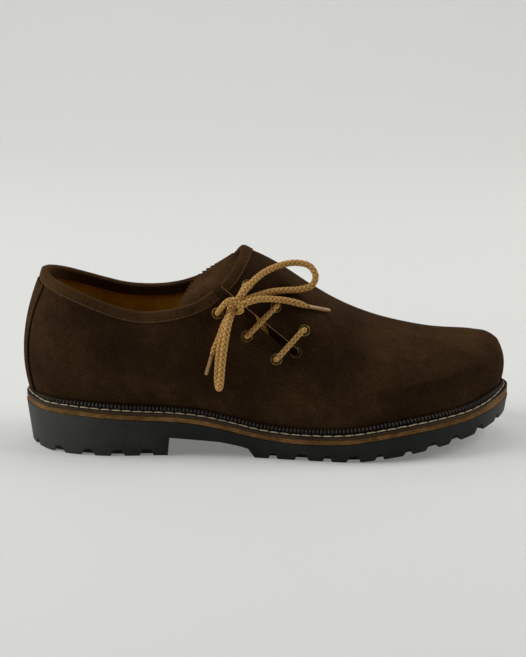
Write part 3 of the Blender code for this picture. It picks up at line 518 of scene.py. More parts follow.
def settle(piece, slot, *nodes):
    """Lets a finished piece ride on the shoe and hides the solids it stands for; the slot is not used."""
    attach(piece, BODY)
    if nodes:
        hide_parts(*nodes)
    print(piece.name, "faces:", len(piece.data.polygons))


# %% [markdown]
# Camera, floor and light
# The picture was taken from the outer side, a little above the shoe, with a long lens. The camera comes
# first, since everything is judged through it. A pale sweep of paper and large soft lamps give the quiet
# studio light. A world picture could light it too, but lamps can be set one by one.

# %% Camera
PHOTO_HEIGHT = 657
FOCAL_PIXELS = 1510.0
SENSOR = 36.0
CAMERA_PLACE = (-27.4, -912.3, 318.0)
# degrees by which the camera looks down, and turns towards the toe
LOOK_DOWN, LOOK_ASIDE = 15.223, 1.5
lens = bpy.data.cameras.new("camera")
lens.sensor_width = SENSOR
lens.lens = FOCAL_PIXELS * SENSOR / PHOTO_HEIGHT
camera = put_in_scene("camera", lens)
camera.location = to_frame(CAMERA_PLACE)
camera.rotation_euler = (math.radians(90.0 - LOOK_DOWN), 0.0, math.radians(-LOOK_ASIDE))
bpy.context.scene.camera = camera
print("lens, mm:", round(lens.lens, 1))

# %% Paper sweep
# the paper itself glows a little, a painted glow that keeps the shadows under the shoe pale
PAPER_GLOW = 0.18
SWEEP = 1300.0
SWEEP_TURNS = np.linspace(0.05, math.pi / 2, 24)
FLOOR_BACK, FLOOR_FRONT, FLOOR_HALF, WALL_TOP = 1100.0, -2600.0, 4200.0, 3600.0


def paper_finish():
    """Matt studio paper, almost white and without gloss, with a painted glow of its own."""
    finish, tree, shader = new_finish("matt_studio_paper")[:3]
    plug(tree, shader, {"Base Color": colour("#dcdcd9"), "Roughness": 0.95, "Specular IOR Level": 0.1})
    plug(tree, shader, {"Emission Color": colour("#fbfbf8"), "Emission Strength": PAPER_GLOW})
    return finish


profile = [(FLOOR_FRONT, 0.0), (FLOOR_BACK, 0.0)]
profile += [(FLOOR_BACK + SWEEP * math.sin(a), SWEEP * (1 - math.cos(a))) for a in SWEEP_TURNS]
profile.append((FLOOR_BACK + SWEEP, WALL_TOP))
sweep_points = [(x, y, z) for y, z in profile for x in (-FLOOR_HALF, FLOOR_HALF)]
sweep = new_piece("paper_sweep", sweep_points, grid_faces(len(profile), 2), paper_finish())
print("paper, mm:", 2 * FLOOR_HALF, "wide")

# %% Lamps
WORLD_FILL = 0.02


def lamp(name, place, target, size, power):
    """Round soft lamp that looks at a target; places and size in metres, power in watts."""
    data = bpy.data.lights.new(name, "AREA")
    data.shape = "DISK"
    data.size = size
    data.energy = power
    item = put_in_scene(name, data)
    item.location = place
    item.rotation_euler = (Vector(target) - Vector(place)).to_track_quat("-Z", "Y").to_euler()
    print("lamp", name, "watts:", power)


lamp("left", place=(-1.6, -0.1, 1.1), target=(-0.05, 0.0, 0.06), size=1.4, power=21.8)
lamp("right", place=(1.5, 0.1, 1.2), target=(0.05, 0.0, 0.06), size=1.4, power=15.0)
lamp("backdrop", place=(0.0, 0.7, 2.6), target=(0.0, 2.4, 1.2), size=2.2, power=20.0)
world = bpy.data.worlds.new("studio")
world.use_nodes = True
sky = world.node_tree.nodes["Background"]
plug(world.node_tree, sky, {"Color": colour("#ffffff"), "Strength": WORLD_FILL})
bpy.context.scene.world = world
bpy.context.scene.view_settings.view_transform = "Standard"

# %% [markdown]
# Finishes
# Suede is the flesh side of leather, brushed to a short nap. It scatters light, so it has no gloss, and
# fibres that lie different ways make soft clouds and fine specks. Hair particles could make the nap, but at
# this distance three sizes of noise look the same and can be exported. The other finishes are a smooth tan
# lining, waxed welt leather, a cut leather edge, moulded rubber, darkened brass, waxed thread and a
# two-tone braid.

# %% Suede
# the toe's crown is painted lighter, a painted highlight, down to a line that climbs towards the toe
CROWN_CLIMB, CROWN_LOW, CROWN_HIGH, CROWN_HIGHLIGHT = 0.15, 31.5, 34.5, 0.06
CROWN_START, CROWN_FULL = 45.0, 90.0


def suede_finish(name, dark, middle, lit):
    """Brushed suede: no gloss, clouds where the nap lies different ways, and specks of single fibres.

    The fibres are drawn a few times as coarse, so that they show; the toe's crown has a painted highlight.
    """
    finish, tree, shader, place = new_finish(name)
    clouds = add(tree, NOISE, {"Vector": place, "Scale": per_mm(38.0), "Detail": 2.0}).outputs["Fac"]
    strokes = add(tree, NOISE, {"Vector": place, "Scale": per_mm(6.0), "Detail": 4.0}).outputs["Fac"]
    nap = add(tree, NOISE, {"Vector": place, "Scale": per_mm(0.9), "Detail": 3.0}).outputs["Fac"]
    broad = add(tree, MIX, {"Factor": 0.3, "A": clouds, "B": strokes}).outputs["Result"]
    shade = add(tree, MIX, {"Factor": 0.4, "A": broad, "B": nap}).outputs["Result"]
    # painted highlight: the suede is drawn lighter on the toe's crown, above a line that climbs towards the
    # toe
    spot = add(tree, SPLIT, {"Vector": place}).outputs
    over = add(tree, MATH, {0: spot["X"], 1: -CROWN_CLIMB, 2: spot["Z"]}, operation="MULTIPLY_ADD").outputs[0]
    height = {"Value": over, "From Min": CROWN_LOW * MM, "From Max": CROWN_HIGH * MM, "To Max": CROWN_HIGHLIGHT}
    toe_highlight = add(tree, MAP_RANGE, height, interpolation_type="SMOOTHSTEP").outputs["Result"]
    reach = {"Value": spot["X"], "From Min": CROWN_START * MM, "From Max": CROWN_FULL * MM}
    forward = add(tree, MAP_RANGE, reach, interpolation_type="SMOOTHSTEP").outputs["Result"]
    shade_and_highlight = add(tree, MATH, {0: toe_highlight, 1: forward, 2: shade}, operation="MULTIPLY_ADD").outputs[0]
    pile = add(tree, MIX, {"Factor": 0.6, "A": strokes, "B": nap}).outputs["Result"]
    dye_and_grain(tree, shader, shade_and_highlight, [(0.36, dark), (0.5, middle), (0.66, lit)], pile, 0.25, 0.5)
    plug(tree, shader, {"Roughness": 0.95, "Specular IOR Level": 0.03})
    plug(tree, shader, {"Sheen Weight": 0.08, "Sheen Roughness": 0.5, "Sheen Tint": colour("#7a532c")})
    return finish


SUEDE = suede_finish("brushed_suede", "#271a0e", "#372617", "#4c3721")
BINDING = suede_finish("binding_suede", "#332314", "#47321e", "#5d442a")
# the tongue's cut edge is painted near black: painted shade of the dark gap behind it
PINKED_EDGE_SHADE = suede_finish("pinked_edge_shade", "#110a04", "#1a1008", "#25180d")
print("suedes:", SUEDE.name, BINDING.name, PINKED_EDGE_SHADE.name)


# %% Grained leathers
def grained_leather(name, dark, light, rough, gloss, grain, depth):
    """Tanned leather: a low gloss broken by pores of that grain and depth in millimetres."""
    finish, tree, shader, place = new_finish(name)
    cells = add(tree, "ShaderNodeTexVoronoi", {"Vector": place, "Scale": per_mm(grain)}).outputs["Distance"]
    cloud = add(tree, NOISE, {"Vector": place, "Scale": per_mm(16.0), "Detail": 3.0}).outputs["Fac"]
    shade = add(tree, MIX, {"Factor": 0.2, "A": cloud, "B": cells}).outputs["Result"]
    dye_and_grain(tree, shader, shade, [(0.3, dark), (0.7, light)], cells, depth, 0.5)
    plug(tree, shader, {"Roughness": rough, "Specular IOR Level": gloss})
    return finish


# columns: name, dark and light colour, roughness, gloss, grain, depth
# smooth calf, worn to a soft shine
LINING = grained_leather("tan_lining_leather", "#a1761a", "#c49530", 0.55, 0.3, 1.1, 0.12)
# waxed nearly black, with little shine on the flat
WELT = grained_leather("waxed_welt_leather", "#120b06", "#20150d", 0.6, 0.12, 0.8, 0.08)
# the ribs get a lighter copy of the welt leather: a painted highlight where they catch the light
RIB_HIGHLIGHT = grained_leather("rib_highlight_leather", "#2f241e", "#46382f", 0.5, 0.4, 0.8, 0.06)
# a cut edge, closed with wax and heat
WELT_RIM = grained_leather("burnished_welt_edge", "#33261a", "#4b3a28", 0.6, 0.15, 0.8, 0.06)
# undyed leather that shows where the upper was cut, made paler as painted light on edges in shade
RAW_EDGE = grained_leather("raw_leather_edge", "#c49a60", "#f0d09a", 0.8, 0.2, 0.5, 0.1)
print("leathers:", LINING.name, WELT.name, RIB_HIGHLIGHT.name, WELT_RIM.name, RAW_EDGE.name)

# %% Cut edge of the sole leather
# fibres run along the edge, so the pattern is drawn out in plan and squeezed in height
FIBRE_STRETCH = (0.28, 0.28, 1.6)


def stacked_edge():
    """Cut edge of sole leather: brown, with fibres that run along the edge and darker blotches."""
    finish, tree, shader, place = new_finish("cut_sole_leather")
    drawn = add(tree, "ShaderNodeMapping", {"Vector": place, "Scale": FIBRE_STRETCH}).outputs["Vector"]
    fibres = add(tree, NOISE, {"Vector": drawn, "Scale": per_mm(0.9), "Detail": 4.0}).outputs["Fac"]
    blotch = add(tree, NOISE, {"Vector": place, "Scale": per_mm(9.0), "Detail": 4.0}).outputs["Fac"]
    shade = add(tree, MIX, {"Factor": 0.5, "A": fibres, "B": blotch}).outputs["Result"]
    stops = [(0.36, "#50381a"), (0.5, "#755329"), (0.64, "#946e45")]
    dye_and_grain(tree, shader, shade, stops, fibres, 0.12, 0.4)
    plug(tree, shader, {"Roughness": 0.7, "Specular IOR Level": 0.15})
    return finish


EDGE = stacked_edge()
print("edge:", EDGE.name)

# %% Rubber
# where the painted light starts and is full along X, at heel and toe, and how much lighter it makes them
LIT_END_SPANS = ((-50.0, -125.0), (122.0, 146.0))
END_LIGHT_GAIN = 0.26
# share of the mottling that is kept
MOTTLE = 0.5


def moulded_rubber():
    """Black moulded rubber: matt, with a fine sandy skin from the mould; painted light greys heel and toe."""
    finish, tree, shader, place = new_finish("moulded_rubber")
    grit = add(tree, NOISE, {"Vector": place, "Scale": per_mm(0.7), "Detail": 2.0}).outputs["Fac"]
    dust = add(tree, NOISE, {"Vector": place, "Scale": per_mm(18.0), "Detail": 4.0}).outputs["Fac"]
    mixed = add(tree, MIX, {"Factor": 0.35, "A": dust, "B": grit}).outputs["Result"]
    calmer = {0: mixed, 1: MOTTLE, 2: (1.0 - MOTTLE) / 2}
    shade = add(tree, MATH, calmer, operation="MULTIPLY_ADD").outputs[0]
    # painted light: the rubber is drawn lighter grey towards the heel and the toe
    along = add(tree, SPLIT, {"Vector": place}).outputs["X"]
    ends = [{"Value": along, "From Min": start * MM, "From Max": full * MM} for start, full in LIT_END_SPANS]
    heel, toe = (add(tree, MAP_RANGE, end).outputs["Result"] for end in ends)
    lit_ends = add(tree, MATH, {0: heel, 1: toe}, operation="MAXIMUM").outputs[0]
    shade_and_end_light = add(tree, MATH, {0: lit_ends, 1: END_LIGHT_GAIN, 2: shade}, operation="MULTIPLY_ADD").outputs[0]
    stops = [(0.44, "#161615"), (0.56, "#252523"), (0.86, "#4b4a46")]
    dye_and_grain(tree, shader, shade_and_end_light, stops, grit, 0.08, 0.4)
    plug(tree, shader, {"Roughness": 0.62, "Specular IOR Level": 0.2})
    return finish


RUBBER = moulded_rubber()
print("rubber:", RUBBER.name)


# %% Brass, thread and lace tips
def mottled(name, size, detail, stops, gloss):
    """Two colours mixed by spots of that size in millimetres, and the shader's other values."""
    finish, tree, shader, place = new_finish(name)
    spots = add(tree, NOISE, {"Vector": place, "Scale": per_mm(size), "Detail": detail}).outputs["Fac"]
    plug(tree, shader, {"Base Color": add(tree, RAMP, {"Fac": spots}, stops).outputs["Color"]})
    plug(tree, shader, gloss)
    return finish


# brass blackened in a bath and rubbed back, so a dull olive metal shows in patches
DULL = {"Metallic": 0.65, "Roughness": 0.45}
BRASS = mottled("darkened_brass", 1.4, 3.0, [(0.35, "#5b4a28"), (0.62, "#a48a56")], DULL)
# twisted waxed thread: fine strands, drawn coarse enough to show
WAX = {"Roughness": 0.7, "Specular IOR Level": 0.1}
CREAM_THREAD = mottled("cream_welt_thread", 0.8, 2.0, [(0.3, "#93836a"), (0.7, "#e2d3b0")], WAX)
BROWN_THREAD = mottled("brown_seam_thread", 0.8, 2.0, [(0.3, "#533f28"), (0.7, "#776040")], WAX)
# clear film rolled tight over the braid: tan strands under a gloss
FILM = {"Roughness": 0.35, "Coat Weight": 0.4}
TIP = mottled("rolled_lace_tip", 1.1, 2.0, [(0.3, "#936b39"), (0.7, "#cc9f62")], FILM)
print("small finishes:", BRASS.name, CREAM_THREAD.name, BROWN_THREAD.name, TIP.name)


# %% Braid
def braid_finish():
    """Round cotton braid: some strands are dark brown; crowns get a painted highlight, gaps painted shade.

    An attribute on the lace's mesh says how light a place is: the strand's own shade times painted shade.
    """
    finish, tree, shader, place = new_finish("two_tone_braid")
    tone_and_gap_shade = add(tree, "ShaderNodeAttribute", attribute_name="tone_and_gap_shade").outputs["Fac"]
    fuzz = add(tree, NOISE, {"Vector": place, "Scale": per_mm(0.5), "Detail": 2.0}).outputs["Fac"]
    shade = add(tree, MIX, {"Factor": 0.16, "A": tone_and_gap_shade, "B": fuzz}).outputs["Result"]
    stops = [(0.1, "#3e2409"), (0.26, "#7d5220"), (0.5, "#c08a43"), (0.76, "#f3c980")]
    dye_and_grain(tree, shader, shade, stops, fuzz, 0.1, 0.4)
    plug(tree, shader, {"Roughness": 0.8, "Specular IOR Level": 0.2})
    return finish


BRAID = braid_finish()
print("lace:", BRAID.name)

# %% [markdown]
# The suede upper
# The real upper is cut in one piece and drawn over the last, so there is no seam on the vamp. A fine grid
# of the surface gets its wall with Solidify, suede outside and lining inside. The lacing slit and the
# eyelet holes could be left out of the grid, but its edges would then be jagged. So they are punched out
# with Booleans, whose faces keep the look of a raw cut edge.

# %% Skin of the upper
STATIONS, ROWS = 360, 58
SKIN_MERGE = 0.02
station_row = np.linspace(-2.0, 2.0, STATIONS, endpoint=False)[:, None]
rib_row = np.linspace(0.0, 1.0, ROWS)[None, :]
skin_grid = surface(station_row, rib_row)
lift = relief(station_row, rib_row)
skin_grid[:, 1:-1] += (surface_normal(station_row, rib_row) * lift[..., None])[:, 1:-1]
skin_points = skin_grid.reshape(-1, 3)
skin_faces = grid_faces(STATIONS, ROWS, close_rows=True)
skin = BVHTree.FromPolygons(skin_points.tolist(), skin_faces.tolist())
print("relief, mm:", lift.min().round(2), "to", lift.max().round(2))


def on_skin(points, out):
    """The skin's nearest points, moved out along its normal, and those normals."""
    found = [skin.find_nearest(Vector(point)) for point in np.asarray(points, float)]
    at = np.array([place for place, normal, index, gap in found])
    normals = np.array([normal for place, normal, index, gap in found])
    return at + normals * np.asarray(out, float).reshape(-1, 1), normals


# %% Extruded outline
def prism(name, outline, origin, first, third, depth, finish):
    """Outline in a plane, extruded both ways along the plane's normal."""
    third = unit(third)
    second = unit(np.cross(third, first))
    first = np.cross(second, third)
    flat = np.array([origin + a * first + b * second for a, b in outline])
    count = len(flat)
    points = np.vstack([flat - third * depth, flat + third * depth])
    faces = [list(range(count))[::-1], list(range(count, 2 * count))]
    faces += [[k, (k + 1) % count, count + (k + 1) % count, count + k] for k in range(count)]
    made = new_piece(name, points, faces, finish)
    mend(made)
    made.data.shade_flat()
    return made


# %% Slit cutter
# stations of the slit's two corners on the collar, and its end in side view
SLIT_QUARTER, SLIT_VAMP = 0.742, 0.782
SLIT_END = (16.5, 64.4)
# widths at the mouth and from the share of its length where it has narrowed, and the cutter's reach past
# the mouth
SLIT_MOUTH, SLIT_WIDTH, SLIT_NARROWED, SLIT_LEAD = 5.4, 4.4, 0.35, 14.0
ahead = np.array([1.0, 0.0, 0.0])
half_turn = np.linspace(math.pi / 2, -math.pi / 2, 15)
slit_mouth = surface((SLIT_QUARTER + SLIT_VAMP) / 2, 1.0)
slit_end = surface(*outer_side_at(*SLIT_END))
slit_middle = outer_side_at(*((slit_mouth + slit_end) / 2)[[0, 2]])
slit_run = slit_end - slit_mouth
slit_length, slit_half = np.linalg.norm(slit_run), SLIT_WIDTH / 2
slit_side = [(-SLIT_LEAD, SLIT_MOUTH / 2), (0.0, SLIT_MOUTH / 2), (SLIT_NARROWED * slit_length, slit_half)]
slit_round = [(slit_length - slit_half + slit_half * math.cos(a), slit_half * math.sin(a)) for a in half_turn]
slit_outline = slit_side + slit_round + [(a, -b) for a, b in reversed(slit_side)]
slit_out = surface_normal(*slit_middle)
cutters = [prism("slit_cutter", slit_outline, slit_mouth, slit_run, slit_out, SLIT_LEAD, RAW_EDGE)]
print("slit, mm:", round(float(slit_length), 1))

# %% Eyelet cutters
# columns: X and Z on the outer side; each row is a pair, on the quarter and on the vamp
EYELET_PAIRS = [((-31.7, 88.3), (-13.6, 103.2)), ((-14.2, 74.7), (3.4, 90.5)), ((3.5, 61.4), (20.5, 77.5))]
EYELET_CUT, EYELET_CUT_DEPTH = 3.0, 6.0
eyelet_places = np.array([outer_side_at(*place) for pair in EYELET_PAIRS for place in pair])
eyelet_points = surface(*eyelet_places.T)
eyelet_normals = surface_normal(*eyelet_places.T)
full_turn = np.linspace(0, 2 * math.pi, 24, endpoint=False)
circle = [(EYELET_CUT * math.cos(a), EYELET_CUT * math.sin(a)) for a in full_turn]
for number, (point, normal) in enumerate(zip(eyelet_points, eyelet_normals)):
    cutters.append(prism(f"eyelet_cutter_{number}", circle, point, ahead, normal, EYELET_CUT_DEPTH, RAW_EDGE))
print("cutters:", len(cutters))

# %% The upper's wall
upper = new_piece("suede_upper", skin_points, skin_faces, SUEDE, LINING, RAW_EDGE)
mend(upper, SKIN_MERGE, outward=False)
thicken(upper, WALL, INWARDS, inner=1, rim=2)
cut(upper, cutters)
bake(upper, cutters)
settle(upper, "suede", "upper")

# %% [markdown]
# Geometry Nodes for what repeats
# Stitches and welt ribs sit at even steps along a line and lean with the surface. An Array modifier on a
# curve could space them, but it can't turn them to the surface. So one tree makes the line a curve, sets
# points on it at the pitch, turns a small motif along the line and away from the surface, and realizes the
# copies. A second tree sets a motif on single points, for the eyelets.

# %% Start and end of a tree
def new_tree(name, sockets):
    """Geometry tree with named inputs; returns the tree and its input node's outputs."""
    tree = bpy.data.node_groups.new(name, "GeometryNodeTree")
    tree.interface.new_socket("Geometry", in_out="OUTPUT", socket_type="NodeSocketGeometry")
    for label, kind in sockets:
        tree.interface.new_socket(label, in_out="INPUT", socket_type=f"NodeSocket{kind}")
    return tree, add(tree, "NodeGroupInput").outputs


def end_tree(tree, copies, given):
    """Sets the motif on the points, realizes the copies and gives them their finish."""
    copies["Instance"] = add(tree, "GeometryNodeObjectInfo", {"Object": given["Motif"]}).outputs["Geometry"]
    placed = add(tree, "GeometryNodeInstanceOnPoints", copies).outputs["Instances"]
    solid = add(tree, "GeometryNodeRealizeInstances", {"Geometry": placed}).outputs["Geometry"]
    dress = {"Geometry": solid, "Material": given["Finish"]}
    dressed = add(tree, "GeometryNodeSetMaterial", dress).outputs["Geometry"]
    add(tree, "NodeGroupOutput", {"Geometry": dressed})


# %% Tree for a row along a line
ATTRIBUTE, ALIGN = "GeometryNodeInputNamedAttribute", "FunctionNodeAlignRotationToVector"
# no stitch or rib is set quite true: each leans by up to this angle, in radians
LEAN = 0.05


def row_tree():
    """Motifs at even steps along a line, turned to the surface, each with a small lean of its own."""
    sockets = [("Geometry", "Geometry"), ("Pitch", "Float"), ("Length", "Float"), ("Width", "Float")]
    sockets += [("Height", "Float"), ("Seed", "Int"), ("Motif", "Object"), ("Finish", "Material")]
    tree, given = new_tree("row_along_a_line", sockets)
    line = add(tree, "GeometryNodeMeshToCurve", {"Mesh": given["Geometry"]}).outputs["Curve"]
    marks = add(tree, "GeometryNodeResampleCurve", {"Curve": line, "Length": given["Pitch"]}, mode="LENGTH")
    tangent = add(tree, "GeometryNodeInputTangent").outputs["Tangent"]
    up = add(tree, ATTRIBUTE, {"Name": "up"}, data_type="FLOAT_VECTOR").outputs["Attribute"]
    girth = add(tree, ATTRIBUTE, {"Name": "girth"}, data_type="FLOAT").outputs["Attribute"]
    along = add(tree, ALIGN, {"Vector": tangent}, axis="X").outputs["Rotation"]
    turned = add(tree, ALIGN, {"Rotation": along, "Vector": up}, axis="Z", pivot_axis="X").outputs["Rotation"]
    lean = {0: (-LEAN, -LEAN, -LEAN), 1: (LEAN, LEAN, LEAN), "Seed": given["Seed"]}
    tilt = add(tree, "FunctionNodeRandomValue", lean, data_type="FLOAT_VECTOR").outputs[0]
    tilt = add(tree, "FunctionNodeEulerToRotation", {"Euler": tilt}).outputs["Rotation"]
    both = {"Rotation": turned, "Rotate By": tilt}
    rotation = add(tree, "FunctionNodeRotateRotation", both, rotation_space="LOCAL").outputs["Rotation"]
    width = add(tree, MATH, {0: given["Width"], 1: girth}, operation="MULTIPLY").outputs[0]
    size = add(tree, "ShaderNodeCombineXYZ", {"X": given["Length"], "Y": width, "Z": given["Height"]})
    copies = {"Points": marks.outputs["Curve"], "Rotation": rotation, "Scale": size.outputs["Vector"]}
    end_tree(tree, copies, given)
    return tree


# %% Tree for single points
def point_tree():
    """One motif on each point, square to the surface."""
    sockets = [("Geometry", "Geometry"), ("Motif", "Object"), ("Finish", "Material")]
    tree, given = new_tree("one_on_each_point", sockets)
    up = add(tree, ATTRIBUTE, {"Name": "up"}, data_type="FLOAT_VECTOR").outputs["Attribute"]
    turned = add(tree, ALIGN, {"Vector": up}, axis="Z").outputs["Rotation"]
    end_tree(tree, {"Points": given["Geometry"], "Rotation": turned}, given)
    return tree


ROW, POINTS = row_tree(), point_tree()
print("trees:", ROW.name, POINTS.name)


# %% Running a tree
def grow(name, tree, points, ups, settings, closed=False, girths=1.0):
    """Runs a tree on a line or on points and keeps the result as a plain mesh."""
    count = len(points)
    links = [(k, (k + 1) % count) for k in range(count if closed else count - 1)] if tree is ROW else []
    piece = raw_object(name, to_frame(points), edges=links)
    upward = piece.data.attributes.new("up", "FLOAT_VECTOR", "POINT")
    upward.data.foreach_set("vector", np.asarray(ups, np.float32).ravel())
    girth = piece.data.attributes.new("girth", "FLOAT", "POINT")
    girth.data.foreach_set("value", np.broadcast_to(girths, count).astype(np.float32))
    modifier = piece.modifiers.new(tree.name, "NODES")
    modifier.node_group = tree
    for socket in tree.interface.items_tree:
        if socket.in_out == "INPUT" and socket.name in settings:
            modifier[socket.identifier] = settings[socket.name]
    bake(piece)
    return piece


# %% Stitch and rib
# columns: x, radius and lift of the rings of a motif of unit size; a stitch's ends dip into the leather
STITCH_RINGS = [(-0.5, 0.12, -0.3), (-0.42, 0.4, -0.05), (-0.2, 0.5, 0.1)]
STITCH_RINGS += [(-x, radius, rise) for x, radius, rise in reversed(STITCH_RINGS)]
RIB_RINGS = [(-0.5, 0.2, 0.0), (-0.34, 0.42, 0.0), (0.0, 0.5, 0.0), (0.34, 0.42, 0.0), (0.5, 0.2, 0.0)]
STITCH_SIDES, RIB_SIDES = 8, 10


def motif(name, rings, sides):
    """Small closed shape turned round X from its rings; it is only copied, never shown itself."""
    angles = np.linspace(0.0, 2 * math.pi, sides, endpoint=False)
    points = [(x, r * math.cos(a), r * math.sin(a) + rise) for x, r, rise in rings for a in angles]
    made = raw_object(name, points, tube_faces(len(rings), sides))
    mend(made)
    made.hide_render = True
    return made


stitch = motif("one_stitch", STITCH_RINGS, STITCH_SIDES)
rib = motif("one_rib", RIB_RINGS, RIB_SIDES)
print("faces of a stitch and a rib:", len(stitch.data.polygons), len(rib.data.polygons))


def stitch_run(name, points, ups, sizes, finish, slot, seed, closed=False):
    """Row of stitches on a line; the sizes are pitch, length and thread."""
    pitch, length, thread = (size * MM for size in sizes)
    settings = {"Pitch": pitch, "Length": length, "Width": thread, "Height": thread, "Seed": seed}
    settle(grow(name, ROW, points, ups, {**settings, "Motif": stitch, "Finish": finish}, closed), slot)


# %% [markdown]
# Collar binding
# A strip of suede is folded over the raw top edge and sewn through near its lower edge. A bevelled curve
# would give a round tube, and a folded strip isn't one. So the fold's own section is swept along the rim:
# down the outside, round the edge, down the inside. It starts and ends squarely at the corners of the slit.

# %% Rim of the collar
RIM_STEP, RIM_EASE = 1.5, 5


def collar_rim():
    """Rim from the slit's rear corner round the heel and the inner side to the slit's front corner."""
    rear = surface(np.linspace(SLIT_QUARTER, 0.0, 160), 1.0)
    # stops short of both ends, so that no point is doubled
    inner = surface(np.linspace(-0.004, -0.999, 200), 1.0)
    front = surface(np.linspace(1.0, SLIT_VAMP, 60), 1.0)
    return even(np.vstack([rear, inner, front]), RIM_STEP)


def soft_mean(values, reach):
    """Running mean along a line, with the ends held."""
    padded = np.pad(values, ((reach, reach), (0, 0)), mode="edge")
    kernel = np.ones(2 * reach + 1) / (2 * reach + 1)
    return np.stack([np.convolve(column, kernel, mode="valid") for column in padded.T], axis=1)


rim = collar_rim()
rim_ahead = unit(np.gradient(rim, axis=0))
rim_out = soft_mean(on_skin(rim, 0.0)[1], RIM_EASE)
rim_out = unit(rim_out - rim_ahead * (rim_out * rim_ahead).sum(axis=1, keepdims=True))
rim_away = np.cross(rim_ahead, rim_out)
print("rim, mm:", lengths_along(rim)[-1].round(1))

# %% The fold round the rim
BIND_OUTSIDE, BIND_INSIDE, BIND_THICK, BIND_ROUND = 5.8, 6.2, 0.8, 0.3
RIM_ARCH = 0.95
# the strip's free edge is pared, so it lies lower there; the fold starts a little under the rim
SKIVE, FOLD_START = 0.7, 0.9
FOLD_ROWS, FOLD_TURNS = 7, 9
half_sheet = LAY + BIND_THICK / 2


def pared(below):
    """How much lower the strip lies towards its free edge."""
    return SKIVE * ((below - FOLD_START) / (BIND_OUTSIDE - FOLD_START)) ** 2


fold = []
for below in np.linspace(BIND_OUTSIDE, FOLD_START, FOLD_ROWS):
    fold.append(on_skin(rim - rim_away * below, half_sheet - pared(below))[0])
for turn in np.linspace(0.0, math.pi, FOLD_TURNS):
    out = rim_out * ((WALL / 2 + half_sheet) * math.cos(turn) - WALL / 2)
    fold.append(rim + out + rim_away * RIM_ARCH * math.sin(turn))
for below in np.linspace(FOLD_START, BIND_INSIDE, FOLD_ROWS):
    fold.append(on_skin(rim - rim_away * below, -WALL - half_sheet)[0])
fold_grid = np.stack(fold, axis=1)
binding = new_piece("collar_binding", fold_grid.reshape(-1, 3), grid_faces(*fold_grid.shape[:2]), BINDING)
thicken(binding, BIND_THICK, BOTH_WAYS)
soften(binding, BIND_ROUND)
bake(binding)
settle(binding, "suede", "collar_band")

# %% Binding seam
SEAM_ABOVE_EDGE = 0.75
BINDING_STITCH = (2.2, 2.1, 0.5)
seam_below = BIND_OUTSIDE - SEAM_ABOVE_EDGE
seam, seam_up = on_skin(rim - rim_away * seam_below, LAY + BIND_THICK - pared(seam_below))
stitch_run("binding_seam", seam, seam_up, BINDING_STITCH, BROWN_THREAD, "suede", 3)

# %% [markdown]
# Backstay
# A strip covers the joined edges at the back of the heel, from the welt to the binding, sewn down both
# sides. A flat strip could be shrink-wrapped onto the heel, but the surface is known, so the strip is a
# grid of that same surface with a small offset, a wall and softened edges.

# %% Strip and its two seams
# half width in stations, and the share by which the strip is narrower at its waist
BACKSTAY_HALF, BACKSTAY_WAIST = 0.09, 0.25
BACKSTAY_THICK, BACKSTAY_ROUND = 0.8, 0.35
# height over the midsole that clears the welt's bead at the heel, and gap to the bead and the binding
HEEL_BEAD, BACKSTAY_GAP = 3.6, 0.6
BACKSTAY_ROWS, BACKSTAY_COLUMNS = 36, 17
SEAM_SHARE = 0.9
BACKSTAY_STITCH = (2.5, 2.0, 0.45)


def backstay_line(share, out):
    """Points up the heel from over the bead to under the binding, at a share of the strip's half width."""
    v = np.linspace(0.0, 1.0, 200)
    up_heel = surface(share * BACKSTAY_HALF, v)
    run = lengths_along(up_heel)
    low = np.interp(HEEL_BEAD + BACKSTAY_GAP, up_heel[:, 2] - midsole_top(up_heel[0, 0]), run)
    marks = np.linspace(low, run[-1] - BIND_OUTSIDE - BACKSTAY_GAP, BACKSTAY_ROWS)
    rows = np.interp(marks, run, v)
    u = share * BACKSTAY_HALF * (1.0 - BACKSTAY_WAIST * np.sin(np.linspace(0.0, math.pi, len(rows))))
    normals = surface_normal(u, rows)
    return surface(u, rows) + normals * out, normals


shares = np.linspace(-1.0, 1.0, BACKSTAY_COLUMNS)
strip = np.stack([backstay_line(share, LAY + BACKSTAY_THICK / 2)[0] for share in shares])
backstay = new_piece("heel_backstay", strip.reshape(-1, 3), grid_faces(*strip.shape[:2]), SUEDE)
thicken(backstay, BACKSTAY_THICK, BOTH_WAYS)
soften(backstay, BACKSTAY_ROUND)
bake(backstay)
settle(backstay, "suede", "backstay")
for side, name in ((1, "outer"), (-1, "inner")):
    seam, seam_up = backstay_line(side * SEAM_SHARE, LAY + BACKSTAY_THICK)
    stitch_run(f"backstay_seam_{name}", seam, seam_up, BACKSTAY_STITCH, BROWN_THREAD, "suede", 5 + side)

# %% [markdown]
# Tongue
# The tongue is one sheet under the slit, suede outside and tan leather inside. Its free rear edge was cut
# with pinking shears, which leaves small even teeth. They could be cut with Booleans, but it is simpler to
# let the sheet's first row go in and out by a triangle wave.

# %% Pinked sheet
# columns: rear edge x, y, z; station and row of the middle; station and row of the front; depth of the
# middle under the skin
TONGUE = [
    (-36.0, -35.0, 53.0, 0.90, 0.40, 1.16, 0.42, 7.2), (-50.0, -31.5, 71.0, 0.86, 0.60, 1.18, 0.56, 7.2),
    (-56.0, -25.0, 87.3, 0.80, 0.82, 1.19, 0.72, 7.0), (-51.4, -11.0, 97.6, 0.82, 0.96, 1.18, 0.85, 6.2),
    (-42.8, 1.0, 105.5, 0.885, 0.97, 1.15, 0.94, 5.6), (-31.5, 6.0, 111.2, 0.95, 0.985, 1.19, 0.99, 5.8),
    (-21.5, 8.5, 115.8, -0.97, 0.985, -1.17, 0.95, 5.8),
]
# thickness, and depth of the front edge under the skin
TONGUE_THICK, TONGUE_SEAT = 1.5, 2.9
TOOTH_PITCH, TOOTH_DEPTH, PER_TOOTH = 3.1, 3.0, 4
# columns of the sheet, and how much they crowd towards the rear edge
TONGUE_COLUMNS, TONGUE_CROWD = 22, 1.3


